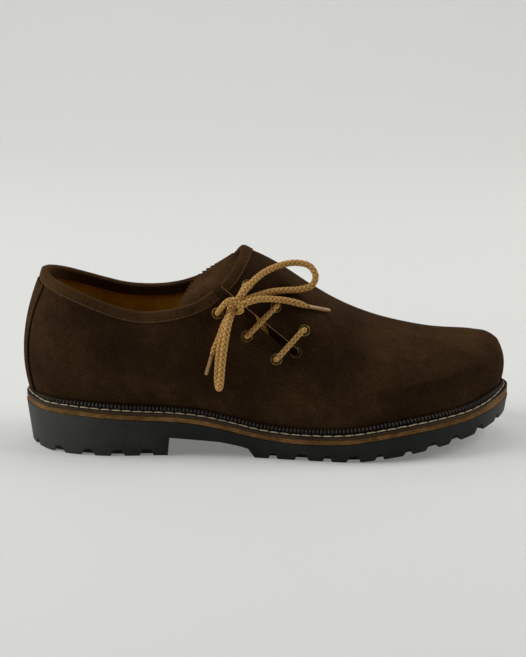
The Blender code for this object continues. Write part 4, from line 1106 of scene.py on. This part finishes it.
def tongue_grid():
    """Sheet from the pinked rear edge through its middle to its front edge, as a parabola across."""
    nets = np.array(TONGUE)
    middle_u, middle_v, front_u, front_v, depth = nets[:, 3:].T
    middle = surface(middle_u, middle_v) - surface_normal(middle_u, middle_v) * depth[:, None]
    front = surface(front_u, front_v) - surface_normal(front_u, front_v) * TONGUE_SEAT
    table = np.column_stack([np.arange(len(nets)), nets[:, :3], middle, front])
    fine = np.linspace(0.0, len(nets) - 1.0, 600)
    run = lengths_along(smooth(table, fine)[:, :3])
    teeth = round(run[-1] / TOOTH_PITCH)
    print("tongue teeth:", teeth)
    keys = np.interp(np.linspace(0.0, run[-1], teeth * PER_TOOTH + 1), run, fine)
    rear, middle, front = (part[:, None] for part in np.split(smooth(table, keys), 3, axis=1))
    span = np.linalg.norm(front - rear, axis=2)
    wave = np.abs((np.arange(len(keys)) / PER_TOOTH) % 1.0 - 0.5) * 2
    first = TOOTH_DEPTH * wave[:, None] / span
    f = (first + (1 - first) * np.linspace(0.0, 1.0, TONGUE_COLUMNS) ** TONGUE_CROWD)[..., None]
    return (1 - f) * (1 - 2 * f) * rear + 4 * f * (1 - f) * middle + f * (2 * f - 1) * front


sheet = tongue_grid()
tongue_faces = grid_faces(*sheet.shape[:2])
tongue = new_piece("pinked_tongue", sheet.reshape(-1, 3), tongue_faces, LINING, BINDING, PINKED_EDGE_SHADE)
thicken(tongue, TONGUE_THICK, OUTWARDS, inner=1, rim=2)
bake(tongue)
settle(tongue, "suede", "tongue")

# %% [markdown]
# Sole
# Leather layers and a moulded rubber unit make the sole. An outline could be extruded and bevelled, but the
# edges rise and fall along the shoe. So each layer is a stack of rings round the same outline, with rounded
# edges built into the rings. Lugs are then cut into the rubber's edge with Booleans.

# %% Rings round the sole
RING_HALF = 190
ring_share = np.r_[np.linspace(0.0, 1.0, RING_HALF + 1), np.linspace(1.0, 0.0, RING_HALF + 1)[1:-1]]
outer_edge, outer_normal = sole_edge(OUTER, ring_share[:RING_HALF + 1])
inner_edge, inner_normal = sole_edge(INNER, ring_share[RING_HALF + 1:])
ring_edge = np.vstack([outer_edge, inner_edge])
ring_normal = np.vstack([outer_normal, inner_normal])
ring_ledge = smooth(LEDGE, ring_share)[:, 0]
print("points in a ring:", len(ring_share))


def ring(inset, base, rise):
    """Ring of points: drawn in from the edge, at a rise over a base height that is a function of X."""
    plan = ring_edge - ring_normal * np.broadcast_to(inset, ring_share.shape)[:, None]
    return np.column_stack([plan, base(plan[:, 0]) + rise])


def plate(name, rings, finish):
    """Solid between stacked rings; both ends are closed by strips from side to side."""
    count = len(ring_share)
    faces = grid_faces(len(rings), count, close_columns=True).tolist()
    for start in (0, (len(rings) - 1) * count):
        for i in range(count // 2):
            corners = [start + i, start + i + 1, start + count - i - 1, start + (count - i) % count]
            faces.append(list(dict.fromkeys(corners)))
    made = new_piece(name, np.vstack(rings), faces, finish)
    mend(made)
    return made


# %% Leather midsole
# the rubber's upper edge lies a little lower than the solid's
EDGE_SINK = 0.45
MIDSOLE_INSET, MIDSOLE_ROUND, MIDSOLE_GAP = 0.4, 0.35, 0.03
# the welt's edge hangs over the midsole's at the sides, and the midsole rises a little round the toe
WELT_DROP, WELT_TUCK, TUCK_SLOPE = 1.25, 1.6, 0.2
TOE_RISE, TOE_START, TOE_FULL = 0.8, 0.85, 0.93


def rubber_top(x):
    return smooth(RUBBER_EDGE, x)[..., 0] - EDGE_SINK


toe_share = np.clip((ring_share - TOE_START) / (TOE_FULL - TOE_START), 0.0, 1.0)
edge_drop = WELT_DROP - (WELT_DROP + TOE_RISE) * toe_share
edge_top = EDGE_SINK + FIT + MIDSOLE_THICK - edge_drop
under_welt = MIDSOLE_INSET + WELT_TUCK
# columns: inset, rise over the rubber
layers = [
    (MIDSOLE_INSET + MIDSOLE_ROUND, MIDSOLE_GAP), (MIDSOLE_INSET, MIDSOLE_ROUND),
    (MIDSOLE_INSET, edge_top - MIDSOLE_ROUND), (MIDSOLE_INSET + MIDSOLE_ROUND, edge_top),
    (under_welt, edge_top), (under_welt + TUCK_SLOPE, EDGE_SINK + FIT + MIDSOLE_THICK),
]
midsole = plate("leather_midsole", [ring(inset, rubber_top, rise) for inset, rise in layers], EDGE)
bake(midsole)
settle(midsole, "sole_leather", "midsole")

# %% Insole
INSOLE_ROUND = 0.8
insole_inset = ring_ledge + WALL + 2 * FIT
# columns: further inset, rise over the midsole
layers = [(0.0, FIT), (0.0, FIT + INSOLE_THICK - INSOLE_ROUND), (INSOLE_ROUND, FIT + INSOLE_THICK)]
rings = [ring(insole_inset + more, midsole_top, rise) for more, rise in layers]
insole = plate("leather_insole", rings, LINING)
bake(insole)
settle(insole, "lining_leather", "insole")

# %% Rubber sole and its arch
HEEL_TAPER, FORE_TAPER = 3.0, 1.5
TOE_SPRING, SPRING_START, SPRING_POWER = 15.8, 50.0, 1.25
HEEL_BREAST, TREAD_STEP = -62.9, -9.6
# columns: x, z of the arch's under side
ARCH = [(HEEL_BREAST, 12.3), (-43.0, 10.7), (-31.0, 9.7), (-18.7, 7.3), (-13.8, 5.9)]
CUT_BELOW = 2.0
# columns: inset, rise; of the tread's rounded edge past its taper, and of the upper edge
TREAD_ROUND = [(0.7, 0.0), (0.2, 0.2), (0.0, 0.7)]
UPPER_ROUND = [(0.1, -0.25), (0.35, 0.0)]
upright = np.array([0.0, 0.0, 1.0])
side_view = np.array([0.0, -1.0, 0.0])


def tread_height(x):
    """Height of the tread over the floor: flat, then rising to the toe."""
    past = np.maximum(0.0, x - SPRING_START) / (SOLE_LENGTH / 2 - SPRING_START)
    return TOE_SPRING * past ** SPRING_POWER


tread_inset = np.where(ring_edge[:, 0] < HEEL_BREAST, HEEL_TAPER, FORE_TAPER)
rings = [ring(tread_inset + more, tread_height, rise) for more, rise in TREAD_ROUND]
rings += [ring(inset, rubber_top, rise) for inset, rise in UPPER_ROUND]
outsole = plate("rubber_outsole", rings, RUBBER)
arch_outline = [(HEEL_BREAST, -CUT_BELOW), *ARCH, (TREAD_STEP, 0.0), (TREAD_STEP, -CUT_BELOW)]
lug_cutters = [prism("arch_cutter", arch_outline, np.zeros(3), ahead, side_view, BALL_WIDTH, RUBBER)]
print("rubber before it is cut, faces:", len(outsole.data.polygons))

# %% Notches in the edge
WIDE_NOTCHES = (-131.4, -112.3, -93.4, -75.6, 18.4, 49.8, 99.2, 114.1, 130.7)
NARROW_NOTCHES = (-147.0, 1.4, 34.1, 66.2, 84.0, 144.2)
# half width at the top, reach of the foot towards the heel and towards the toe, height
WIDE_NOTCH = (2.7, 4.1, 4.0, 4.4)
NARROW_NOTCH = (1.6, 3.0, 2.1, 3.9)
# depth into the sole and past its edge, chamfer at the foot; the top's corners start at a share of the height
# and are that wide
NOTCH_REACH, NOTCH_PAST, NOTCH_CHAMFER = 7.5, 3.0, 0.7
NOTCH_SHOULDER, NOTCH_CORNER = 0.85, 0.6
notch_middle, notch_depth = (NOTCH_REACH - NOTCH_PAST) / 2, (NOTCH_REACH + NOTCH_PAST) / 2


def notch_side(top, reach, height):
    """Half of a notch's outline, from under the ground up to its top."""
    foot = reach + NOTCH_CHAMFER
    return [(foot, -height), (foot, 0.0), (reach, NOTCH_CHAMFER),
            (top, NOTCH_SHOULDER * height), (top - NOTCH_CORNER, height)]


for places, (top, heelward, toeward, height) in ((WIDE_NOTCHES, WIDE_NOTCH), (NARROW_NOTCHES, NARROW_NOTCH)):
    rear_side = [(-a, b) for a, b in reversed(notch_side(top, heelward, height))]
    outer_notch = notch_side(top, toeward, height) + rear_side
    inner_notch = [(-a, b) for a, b in reversed(outer_notch)]
    for x in places:
        for side, outline in ((OUTER, outer_notch), (INNER, inner_notch)):
            share = np.interp(x, HALVES[side][1][:, 0], HALVES[side][0])
            (px, py), (nx, ny) = sole_edge(side, share)
            origin = np.array([px - nx * notch_middle, py - ny * notch_middle, tread_height(px)])
            outward = np.array([nx, ny, 0.0])
            along = np.cross(upright, outward)
            name = f"notch_cutter_{len(lug_cutters)}"
            lug_cutters.append(prism(name, outline, origin, along, outward, notch_depth, RUBBER))
print("notches:", len(lug_cutters) - 1)

# %% Grooves across the tread
GROOVES = (10.0, 26.0, 42.0, 58.0, 75.0, 92.0, 107.0)
GROOVE_MARGIN, GROOVE_HALF, GROOVE_DEPTH, GROOVE_FLARE = 20.0, 1.8, 3.0, 0.4
foot, roof = GROOVE_HALF + GROOVE_FLARE, GROOVE_HALF - GROOVE_FLARE
groove_outline = [(-foot, -GROOVE_DEPTH), (foot, -GROOVE_DEPTH), (roof, GROOVE_DEPTH), (-roof, GROOVE_DEPTH)]
for x in GROOVES:
    low, high = (np.interp(x, points[:, 0], points[:, 1]) for share, points, normals in HALVES)
    origin = np.array([x, (low + high) / 2, tread_height(x)])
    name, reach = f"groove_cutter_{len(lug_cutters)}", (high - low) / 2 - GROOVE_MARGIN
    lug_cutters.append(prism(name, groove_outline, origin, ahead, side_view, reach, RUBBER))
print("cutters:", len(lug_cutters))
cut(outsole, lug_cutters)
bake(outsole, lug_cutters)
settle(outsole, "rubber", "outsole")

# %% [markdown]
# Storm welt
# The welt is the strip that sole and upper are sewn to. This one has a raised ribbed bead that keeps water
# out of the seam, and a line of thick cream stitches in a shallow groove beside it. A curve with a bevel
# object could sweep it, but its section changes on the way round: at the ends of the shoe the bead is low
# and narrow. So the strip is a grid of lines round the sole, and ribs and stitches are grown on it.

# %% How the upper bulges over the welt
CLIMB_TO, CLIMB_ROWS = 0.2, 13
fine_station = np.linspace(0.0, 2.0, 900)
ring_side = np.r_[np.zeros(RING_HALF + 1, int), np.ones(RING_HALF - 1, int)]
foot_shares = [smooth(rows, fine_station)[:, 0] for rows in RIBS]
ring_station = np.array([(1 - 2 * side) * np.interp(share, foot_shares[side], fine_station)
                         for side, share in zip(ring_side, ring_share)])
climb = surface(ring_station[:, None], np.linspace(0.0, CLIMB_TO, CLIMB_ROWS)[None, :])
climb_height = climb[..., 2] - climb[:, :1, 2] + FIT
climb_out = ((climb - climb[:, :1])[..., :2] * ring_normal[:, None]).sum(axis=-1)
print("bulge, mm:", climb_out.max().round(2))


def stand_out(height):
    """How far the upper bulges past its foot at a height over the midsole, all round."""
    heights = np.broadcast_to(height, ring_share.shape)
    return np.array([np.interp(h, rise, out) for h, rise, out in zip(heights, climb_height, climb_out)])


def welt_line(out, height):
    """Line round the shoe at a distance out from the upper's foot and a height over the midsole."""
    plan = ring_edge + ring_normal * (out - ring_ledge)[:, None]
    return np.column_stack([plan, midsole_top(plan[:, 0]) + height])


# %% Sizes of the bead and the groove
WELT_FLAT, TOE_FLAT = 1.26, 2.3
BEAD_RISE, TOE_BEAD_RISE = 3.05, 3.4
BEAD_WIDTH, BEAD_LEAST, BEAD_GAP = 2.4, 0.9, FIT + 0.1
# at the ends of the shoe the bead is low and narrow, so more of the strip lies outside the stitches; that
# holds fully for the first third of the reach and then fades out
RIM_LEFT, END_RIM, END_REACH, END_FADE, END_DROP = 0.6, 2.2, 0.11, 1.5, 0.3
STITCH_INSET, END_INSET = 0.65, 1.6
STITCH_SHARE, END_SHARE = 0.35, 0.15
welt_rim = ring_ledge - MIDSOLE_INSET
flat = WELT_FLAT + (TOE_FLAT - WELT_FLAT) * toe_share
near_end = np.clip(END_FADE - END_FADE * np.minimum(ring_share, 1.0 - ring_share) / END_REACH, 0.0, 1.0)
near_end = near_end * near_end * (3.0 - 2.0 * near_end)
bead_rise = BEAD_RISE + (TOE_BEAD_RISE - BEAD_RISE) * toe_share
bead_top = flat + bead_rise * (1.0 - END_DROP * near_end)
bead_foot = stand_out(bead_top) + BEAD_GAP
bead_room = welt_rim - bead_foot - RIM_LEFT - END_RIM * near_end
bead_width = np.clip(bead_room, BEAD_LEAST * (1.0 - END_DROP * near_end), BEAD_WIDTH)
bead_edge = bead_foot + bead_width
outer_share = STITCH_SHARE + (END_SHARE - STITCH_SHARE) * near_end
beside_bead = outer_share * welt_rim + (1.0 - outer_share) * bead_edge
groove = np.maximum(welt_rim - STITCH_INSET - END_INSET * near_end, beside_bead)
print("bead width, mm:", bead_width.min().round(2), "to", bead_width.max().round(2))

# %% Strip and bead
# gaps over the midsole on the flat and under the hanging edge
WELT_GAP, HANG_GAP = 0.02, 0.05
# columns: how far in from the rim, height; of the tucked under side, and of the lower and upper round of the
# edge
under = [(WELT_TUCK + 0.15, WELT_GAP), (WELT_TUCK, HANG_GAP - edge_drop)]
lower_round = [(0.2, HANG_GAP - edge_drop), (0.0, 0.3 - edge_drop)]
upper_round = [(0.0, flat - 0.5), (0.25, flat - 0.1)]
GROOVE_SINK = 0.2
BEAD_TURNS = np.linspace(0.15, math.pi - 0.2, 9)
# strips of faces that make the outer edge
RIM_STRIPS = (2, 3)
lines = [welt_line(welt_rim - inset, height) for inset, height in under + lower_round + upper_round]
lines.append(welt_line(groove, flat - GROOVE_SINK))
for turn in BEAD_TURNS:
    across = 0.5 + 0.5 * math.cos(turn)
    lines.append(welt_line(bead_foot + across * bead_width, flat + (bead_top - flat) * math.sin(turn)))
lines.append(welt_line(stand_out(FIT) + BEAD_GAP, WELT_GAP))
welt_grid = np.stack(lines, axis=1)
welt_faces = grid_faces(*welt_grid.shape[:2], close_rows=True, close_columns=True)
welt = new_piece("storm_welt", welt_grid.reshape(-1, 3), welt_faces, WELT, WELT_RIM)
on_rim = np.isin(np.arange(len(welt_faces)) % len(lines), RIM_STRIPS)
welt.data.polygons.foreach_set("material_index", on_rim.astype(np.int32))
mend(welt)
bake(welt)
settle(welt, "welt_leather", "welt")

# %% Ribs on the bead
# pitch, height, and length as a share of the pitch; width as a share of the bead's; how upright a rib stands
RIB_PITCH, RIB_HEIGHT, RIB_SHARE, RIB_WIDTH, RIB_STAND = 2.3, 2.1, 0.55, 1.42, 1.3
bead_line = welt_line(bead_foot + bead_width / 2, bead_top - RIB_HEIGHT / 2)
rib_up = unit(np.column_stack([ring_normal, np.full(len(ring_normal), RIB_STAND)]))
settings = {"Pitch": RIB_PITCH * MM, "Length": RIB_SHARE * RIB_PITCH * MM, "Width": MM}
settings.update({"Height": RIB_HEIGHT * MM, "Seed": 11, "Motif": rib, "Finish": RIB_HIGHLIGHT})
bead_ribs = grow("welt_bead_ribs", ROW, bead_line, rib_up, settings, True, bead_width * RIB_WIDTH)
settle(bead_ribs, "welt_leather")

# %% Welt stitches
WELT_STITCH = (6.5, 6.1, 0.78)
STITCH_LIFT, STITCH_LEAN = 0.1, 0.5
stitch_line = welt_line(groove, flat + STITCH_LIFT)
stitch_up = unit(np.column_stack([STITCH_LEAN * ring_normal, np.ones(len(ring_normal))]))
stitch_run("welt_stitches", stitch_line, stitch_up, WELT_STITCH, CREAM_THREAD, "lace_braid", 21, closed=True)

# %% [markdown]
# Eyelets
# Six turned brass eyelets are pressed through the suede: a rolled rim on the outside and a barrel through
# the wall. Six copies could be turned and placed by hand. Here one is turned from its profile, and the
# point tree sets it in the six holes, square to the suede. A row of stitches, grown like the seams, keeps
# the slit's end from tearing further.

# %% Turned eyelets
EYELET_HOLE, EYELET_BARREL, EYELET_RIM = 2.25, 2.65, 3.65
EYELET_FOOT, EYELET_FACE = -WALL - 0.4, FIT
ROUND_SIDES = 28
# columns: radius, height over the suede
EYELET_PROFILE = [
    (EYELET_HOLE, EYELET_FOOT), (EYELET_HOLE, -0.4), (2.5, 0.25), (2.85, 0.55), (3.05, 0.85), (3.3, 0.95),
    (3.55, 0.78), (EYELET_RIM, 0.5), (EYELET_RIM, EYELET_FACE), (EYELET_BARREL, EYELET_FACE),
    (EYELET_BARREL, EYELET_FOOT),
]
turns = np.linspace(0.0, 2 * math.pi, ROUND_SIDES, endpoint=False)
turned = [(r * math.cos(a) * MM, r * math.sin(a) * MM, z * MM) for a in turns for r, z in EYELET_PROFILE]
one_eyelet = raw_object("one_eyelet", turned, grid_faces(ROUND_SIDES, len(EYELET_PROFILE), True, True))
mend(one_eyelet)
eyelets = grow("brass_eyelets", POINTS, eyelet_points, eyelet_normals, {"Motif": one_eyelet, "Finish": BRASS})
bpy.data.objects.remove(one_eyelet, do_unlink=True)
eyelet_nodes = [f"eyelet_{part}_{row}" for part in ("quarter", "vamp") for row in (1, 2, 3)]
settle(eyelets, "antique_brass", *eyelet_nodes)

# %% Stitched end of the slit
# the stitches lie round the slit's end: how far off it, how far ahead, the length of their two straight legs
# and their lift over the suede
TACK_OFF, TACK_AHEAD, TACK_LEG, TACK_LIFT = 1.0, 0.8, 1.0, 0.15
TACK_STITCH = (1.5, 1.7, 0.7)
along_slit = unit(slit_run)
across_slit = unit(np.cross(on_skin([slit_end], 0.0)[1][0], along_slit))
reach = SLIT_WIDTH / 2 + TACK_OFF
arc = np.linspace(math.pi / 2, -math.pi / 2, 13)
tack = [(reach * math.cos(a) - SLIT_WIDTH / 2 + TACK_AHEAD, reach * math.sin(a)) for a in arc]
leg_start = TACK_AHEAD - SLIT_WIDTH / 2 - TACK_LEG
tack = [(leg_start, reach), *tack, (leg_start, -reach)]
tack_line = even(np.array([slit_end + along_slit * a + across_slit * b for a, b in tack]), 1.0)
tack_points, tack_up = on_skin(tack_line, TACK_LIFT)
stitch_run("slit_end_stitches", tack_points, tack_up, TACK_STITCH, BROWN_THREAD, "suede", 31)

# %% [markdown]
# Lace
# The lace is a round cotton braid of eighteen strands, 4 mm thick. Eighteen separate tubes would be heavy,
# and a bump would leave the outline smooth. So the strands are relief on one tube: its radius rises and
# falls with two families of helices that pass over and under each other. One length runs through the
# eyelets, over the slit and back inside. The bow has two loops and two tipped ends, which come out of a
# wrapped knot.

# %% Directions across a line
def line_frames(line):
    """Two unit vectors square to the line at every point, carried along it without twist."""
    ahead_here = unit(np.gradient(line, axis=0))
    first = np.cross(ahead_here[0], upright)
    frames = []
    for direction in ahead_here:
        first = unit(first - direction * (first @ direction))
        frames.append((first, np.cross(direction, first)))
    return np.array(frames)


# %% Braided tube
# thickness of the free lace, and of the lace where it is drawn tight
LACE, LACE_TAUT = 4.0, 3.5
# strands each way round, length in which the pattern moves on by one strand, and depth of the gaps between
# strands
CARRIERS, STRAND_RUN, STRAND_RELIEF = 9, 1.0, 0.3
LACE_SIDES, LACE_STEP, LACE_MERGE = 45, 0.28, 0.0001
TAPER_RUN, TAPER_TO, TAPER_POWER = 6.0, 0.6, 1.5
# one strand in three is dark; shades of the dark strands and of the light ones, and the share of them that is
# left in the gaps as painted shade
DARK_EVERY, DARK_STRAND, LIGHT_STRAND, GAP_SHADE = 3, 0.36, 0.82, 0.4


def braid_tube(name, line, diameter=LACE, taper=False):
    """Closed tube along the line, with the braid's relief and a value for its colours and painted shade."""
    run = lengths_along(line)[:, None]
    around = np.linspace(0.0, 2 * math.pi, LACE_SIDES, endpoint=False)[None, :]
    right = CARRIERS * around / (2 * math.pi) + run / STRAND_RUN
    left = CARRIERS * around / (2 * math.pi) - run / STRAND_RUN
    over = (np.floor(right) + np.floor(left)) % 2 < 1
    crown = np.where(over, np.sin(math.pi * (right % 1.0)), np.sin(math.pi * (left % 1.0)))
    number = np.where(over, np.floor(right), np.floor(left) + 1) % DARK_EVERY
    tone_and_gap_shade = np.where(number < 1, DARK_STRAND, LIGHT_STRAND) * (GAP_SHADE + (1 - GAP_SHADE) * crown)
    thin = np.ones_like(run)
    if taper:
        to_end = np.clip((run - run[-1] + TAPER_RUN) / TAPER_RUN, 0.0, 1.0)
        thin = 1 - (1 - TAPER_TO) * to_end ** TAPER_POWER
    radius = (diameter / 2 - STRAND_RELIEF * (1 - crown)) * thin
    frames = line_frames(line)
    spokes = np.cos(around)[..., None] * frames[:, :1] + np.sin(around)[..., None] * frames[:, 1:]
    points = (line[:, None] + spokes * radius[..., None]).reshape(-1, 3)
    piece = new_piece(name, points, tube_faces(len(line), LACE_SIDES), BRAID)
    value = piece.data.attributes.new("tone_and_gap_shade", "FLOAT", "POINT")
    value.data.foreach_set("value", tone_and_gap_shade.ravel().astype(np.float32))
    mend(piece, LACE_MERGE)
    return piece


# %% Place of the knot
KNOT = np.array([-22.6, -39.0, 94.9])
# about the direction from the quarter's first eyelet to the vamp's
KNOT_PULL = (1.0, 0.0, 0.8)
knot_out = surface_normal(*outer_side_at(KNOT[0], KNOT[2]))
knot_across = unit(np.cross(knot_out, KNOT_PULL))
knot_along = np.cross(knot_across, knot_out)
print("knot, mm:", KNOT)


def in_knot(along, across, out):
    """Place inside the knot, by distances from its middle."""
    return KNOT + knot_along * along + knot_across * across + knot_out * out


# %% Lace through the eyelets
# columns: run towards the other eyelet and rise over the suede, where the lace bends at a hole
BEND_OUTSIDE = [(0.0, -1.0), (0.0, 0.4), (0.0, 1.8), (1.0, 3.4), (2.9, 4.0)]
BEND_INSIDE = [(0.0, -2.4), (0.8, -4.0), (2.8, -4.7)]
BAR_RISE, INSIDE_DEPTH = 4.0, -4.7
HOLE_OVERLAP = 0.5
# numbers of the eyelets, from the collar down, on the quarter and on the vamp
Q1, V1, Q2, V2, Q3, V3 = range(6)


def bend(eyelet, other, rows):
    """Points where the lace turns at an eyelet, on the way to or from another one."""
    span = eyelet_points[other] - eyelet_points[eyelet]
    normal = eyelet_normals[eyelet]
    leave = unit(span - normal * (span @ normal))
    return [eyelet_points[eyelet] + normal * rise + leave * run for run, rise in rows]


def bar(start, end):
    """Run over the slit from one eyelet to another."""
    middle = (eyelet_points[start] + eyelet_points[end]) / 2
    lifted = middle + unit(eyelet_normals[start] + eyelet_normals[end]) * BAR_RISE
    return bend(start, end, BEND_OUTSIDE) + [lifted] + bend(end, start, BEND_OUTSIDE[::-1])


def inside(start, end):
    """Run along the inside of the wall from one eyelet to another."""
    between = np.linspace(eyelet_points[start], eyelet_points[end], 5)[1:-1]
    under_wall = list(on_skin(between, INSIDE_DEPTH)[0])
    return bend(start, end, BEND_INSIDE) + under_wall + bend(end, start, BEND_INSIDE[::-1])


route = [eyelet_points[Q1] - eyelet_normals[Q1] * HOLE_OVERLAP] + inside(Q1, Q2)
route += bar(Q2, V2) + inside(V2, V3) + bar(V3, Q3) + inside(Q3, V1)
route += bend(V1, Q1, BEND_OUTSIDE) + [in_knot(2.6, 0.0, -2.4), in_knot(-0.6, 0.0, -1.2)]
run_line = even(spline(route), LACE_STEP)
lace_run = braid_tube("lace_through_eyelets", run_line, LACE_TAUT)
settle(lace_run, "lace_braid", "lace_bar_1", "lace_bar_2", "lace_bar_3")
print("lace held by the shoe, mm:", round(lengths_along(run_line)[-1], 1))

# %% Routes of the bow
LOOP_UPPER = [
    (-18.2, -37.6, 99.6), (-12.0, -31.5, 105.8), (-3.0, -22.0, 111.0), (7.0, -16.0, 113.9),
    (16.0, -14.5, 115.0), (24.5, -16.0, 113.2), (28.0, -18.5, 107.8), (26.0, -20.0, 102.4),
    (18.5, -21.0, 99.9), (9.5, -23.5, 100.0), (1.0, -26.5, 99.9), (-7.0, -30.6, 98.8), (-14.0, -34.8, 97.2),
]
LOOP_LOWER = [
    (-23.6, -44.0, 90.0), (-25.4, -48.0, 84.8), (-27.0, -51.0, 77.0), (-28.4, -53.0, 68.2),
    (-29.4, -54.0, 59.4), (-30.0, -53.4, 52.4), (-30.7, -49.8, 46.9), (-31.5, -45.4, 45.4),
    (-32.2, -42.2, 49.0), (-31.9, -41.8, 56.2), (-31.1, -42.8, 65.4), (-29.8, -43.6, 73.4),
    (-27.4, -43.9, 81.0), (-25.2, -42.6, 87.0),
]
END_UPPER = [
    (-16.6, -41.0, 95.6), (-12.2, -39.8, 97.2), (-6.8, -37.0, 97.8), (-1.4, -33.9, 97.3), (4.4, -31.0, 96.1),
    (9.8, -29.0, 94.9), (15.6, -28.2, 93.4), (22.9, -27.4, 90.8),
]
END_LOWER = [
    (-25.8, -38.0, 87.2), (-28.0, -38.2, 82.4), (-30.0, -38.5, 76.9), (-32.1, -39.1, 71.4),
    (-34.1, -39.7, 67.4), (-35.3, -40.1, 64.3),
]
TIP_UPPER = [(23.2, -27.2, 90.7), (36.8, -20.6, 86.4)]
TIP_LOWER = [(-35.4, -40.2, 63.9), (-38.9, -40.7, 52.1)]
print("points on the bow's routes:", [len(way) for way in (LOOP_UPPER, LOOP_LOWER, END_UPPER, END_LOWER)])

# %% Wrapped knot
# the strand leaves the rear eyelet, arches over the roots of the loops and is drawn in behind them
WRAP_RISES = (-2.0, 0.2, 1.6)
WRAP = [
    (-28.9, -42.0, 94.7), (-25.6, -44.0, 98.5), (-21.6, -45.0, 99.5), (-18.4, -44.8, 96.0),
    (-17.8, -43.2, 92.4), (-20.4, -40.6, 91.0), (-24.0, -38.8, 92.6),
]
wrap_start = [eyelet_points[Q1] + eyelet_normals[Q1] * rise for rise in WRAP_RISES]
knot = braid_tube("lace_knot_wrap", even(spline(wrap_start + WRAP), LACE_STEP), LACE_TAUT)
settle(knot, "lace_braid", "lace_knot")

# %% Tips
TIP_DIAMETER = 2.35
# columns: share of the tip's length, share of its radius
TIP_PROFILE = [
    (0.0, 0.9), (0.03, 1.04), (0.08, 1.0), (0.5, 0.97), (0.9, 0.95), (0.97, 0.9), (1.0, 0.7), (0.96, 0.5),
]


def lace_tip(name, ends, node):
    """Rolled tip between two points, with a hollow at its far end."""
    start, end = np.array(ends)
    axis = unit(end - start)
    first = unit(np.cross(axis, upright))
    second = np.cross(axis, first)
    rings = []
    for share, radius in TIP_PROFILE:
        reach_out = radius * TIP_DIAMETER / 2
        centre = start + (end - start) * share
        rings += [centre + reach_out * (first * math.cos(a) + second * math.sin(a)) for a in turns]
    piece = new_piece(name, np.array(rings), tube_faces(len(TIP_PROFILE), ROUND_SIDES), TIP)
    mend(piece)
    bake(piece)
    settle(piece, "lace_tip", node)
    return piece


upper_tip = lace_tip("tip_of_upper_end", TIP_UPPER, "lace_tip_upper")
lower_tip = lace_tip("tip_of_lower_end", TIP_LOWER, "lace_tip_lower")


# %% Loops and ends
def bow_cord(name, points, node, far_end):
    """One strand of the bow, from the middle of the knot, tapered at its far end when that end is a fitting.
    """
    line = even(spline(points), LACE_STEP)
    piece = braid_tube(name, line, taper=far_end == "fitting")
    settle(piece, "lace_braid", node)


upper_loop = [in_knot(0.5, 0.6, 0.4), *LOOP_UPPER, in_knot(1.0, -0.6, 0.0)]
lower_loop = [in_knot(-0.5, -0.8, 0.6), *LOOP_LOWER, in_knot(-0.5, -0.4, -0.6)]
upper_end = [in_knot(0.5, -1.2, 0.6), *END_UPPER]
lower_end = [in_knot(-0.5, 0.4, -0.4), *END_LOWER]
bow_cord("lace_loop_above", upper_loop, "lace_loop_upper", "knot")
bow_cord("lace_loop_below", lower_loop, "lace_loop_lower", "knot")
bow_cord("lace_end_above", upper_end, "lace_end_upper", "fitting")
bow_cord("lace_end_below", lower_end, "lace_end_lower", "fitting")

# %% [markdown]
# Finish
# The two motifs were only copied, so they are removed.

# %% Clean up
for small in (stitch, rib):
    bpy.data.objects.remove(small, do_unlink=True)
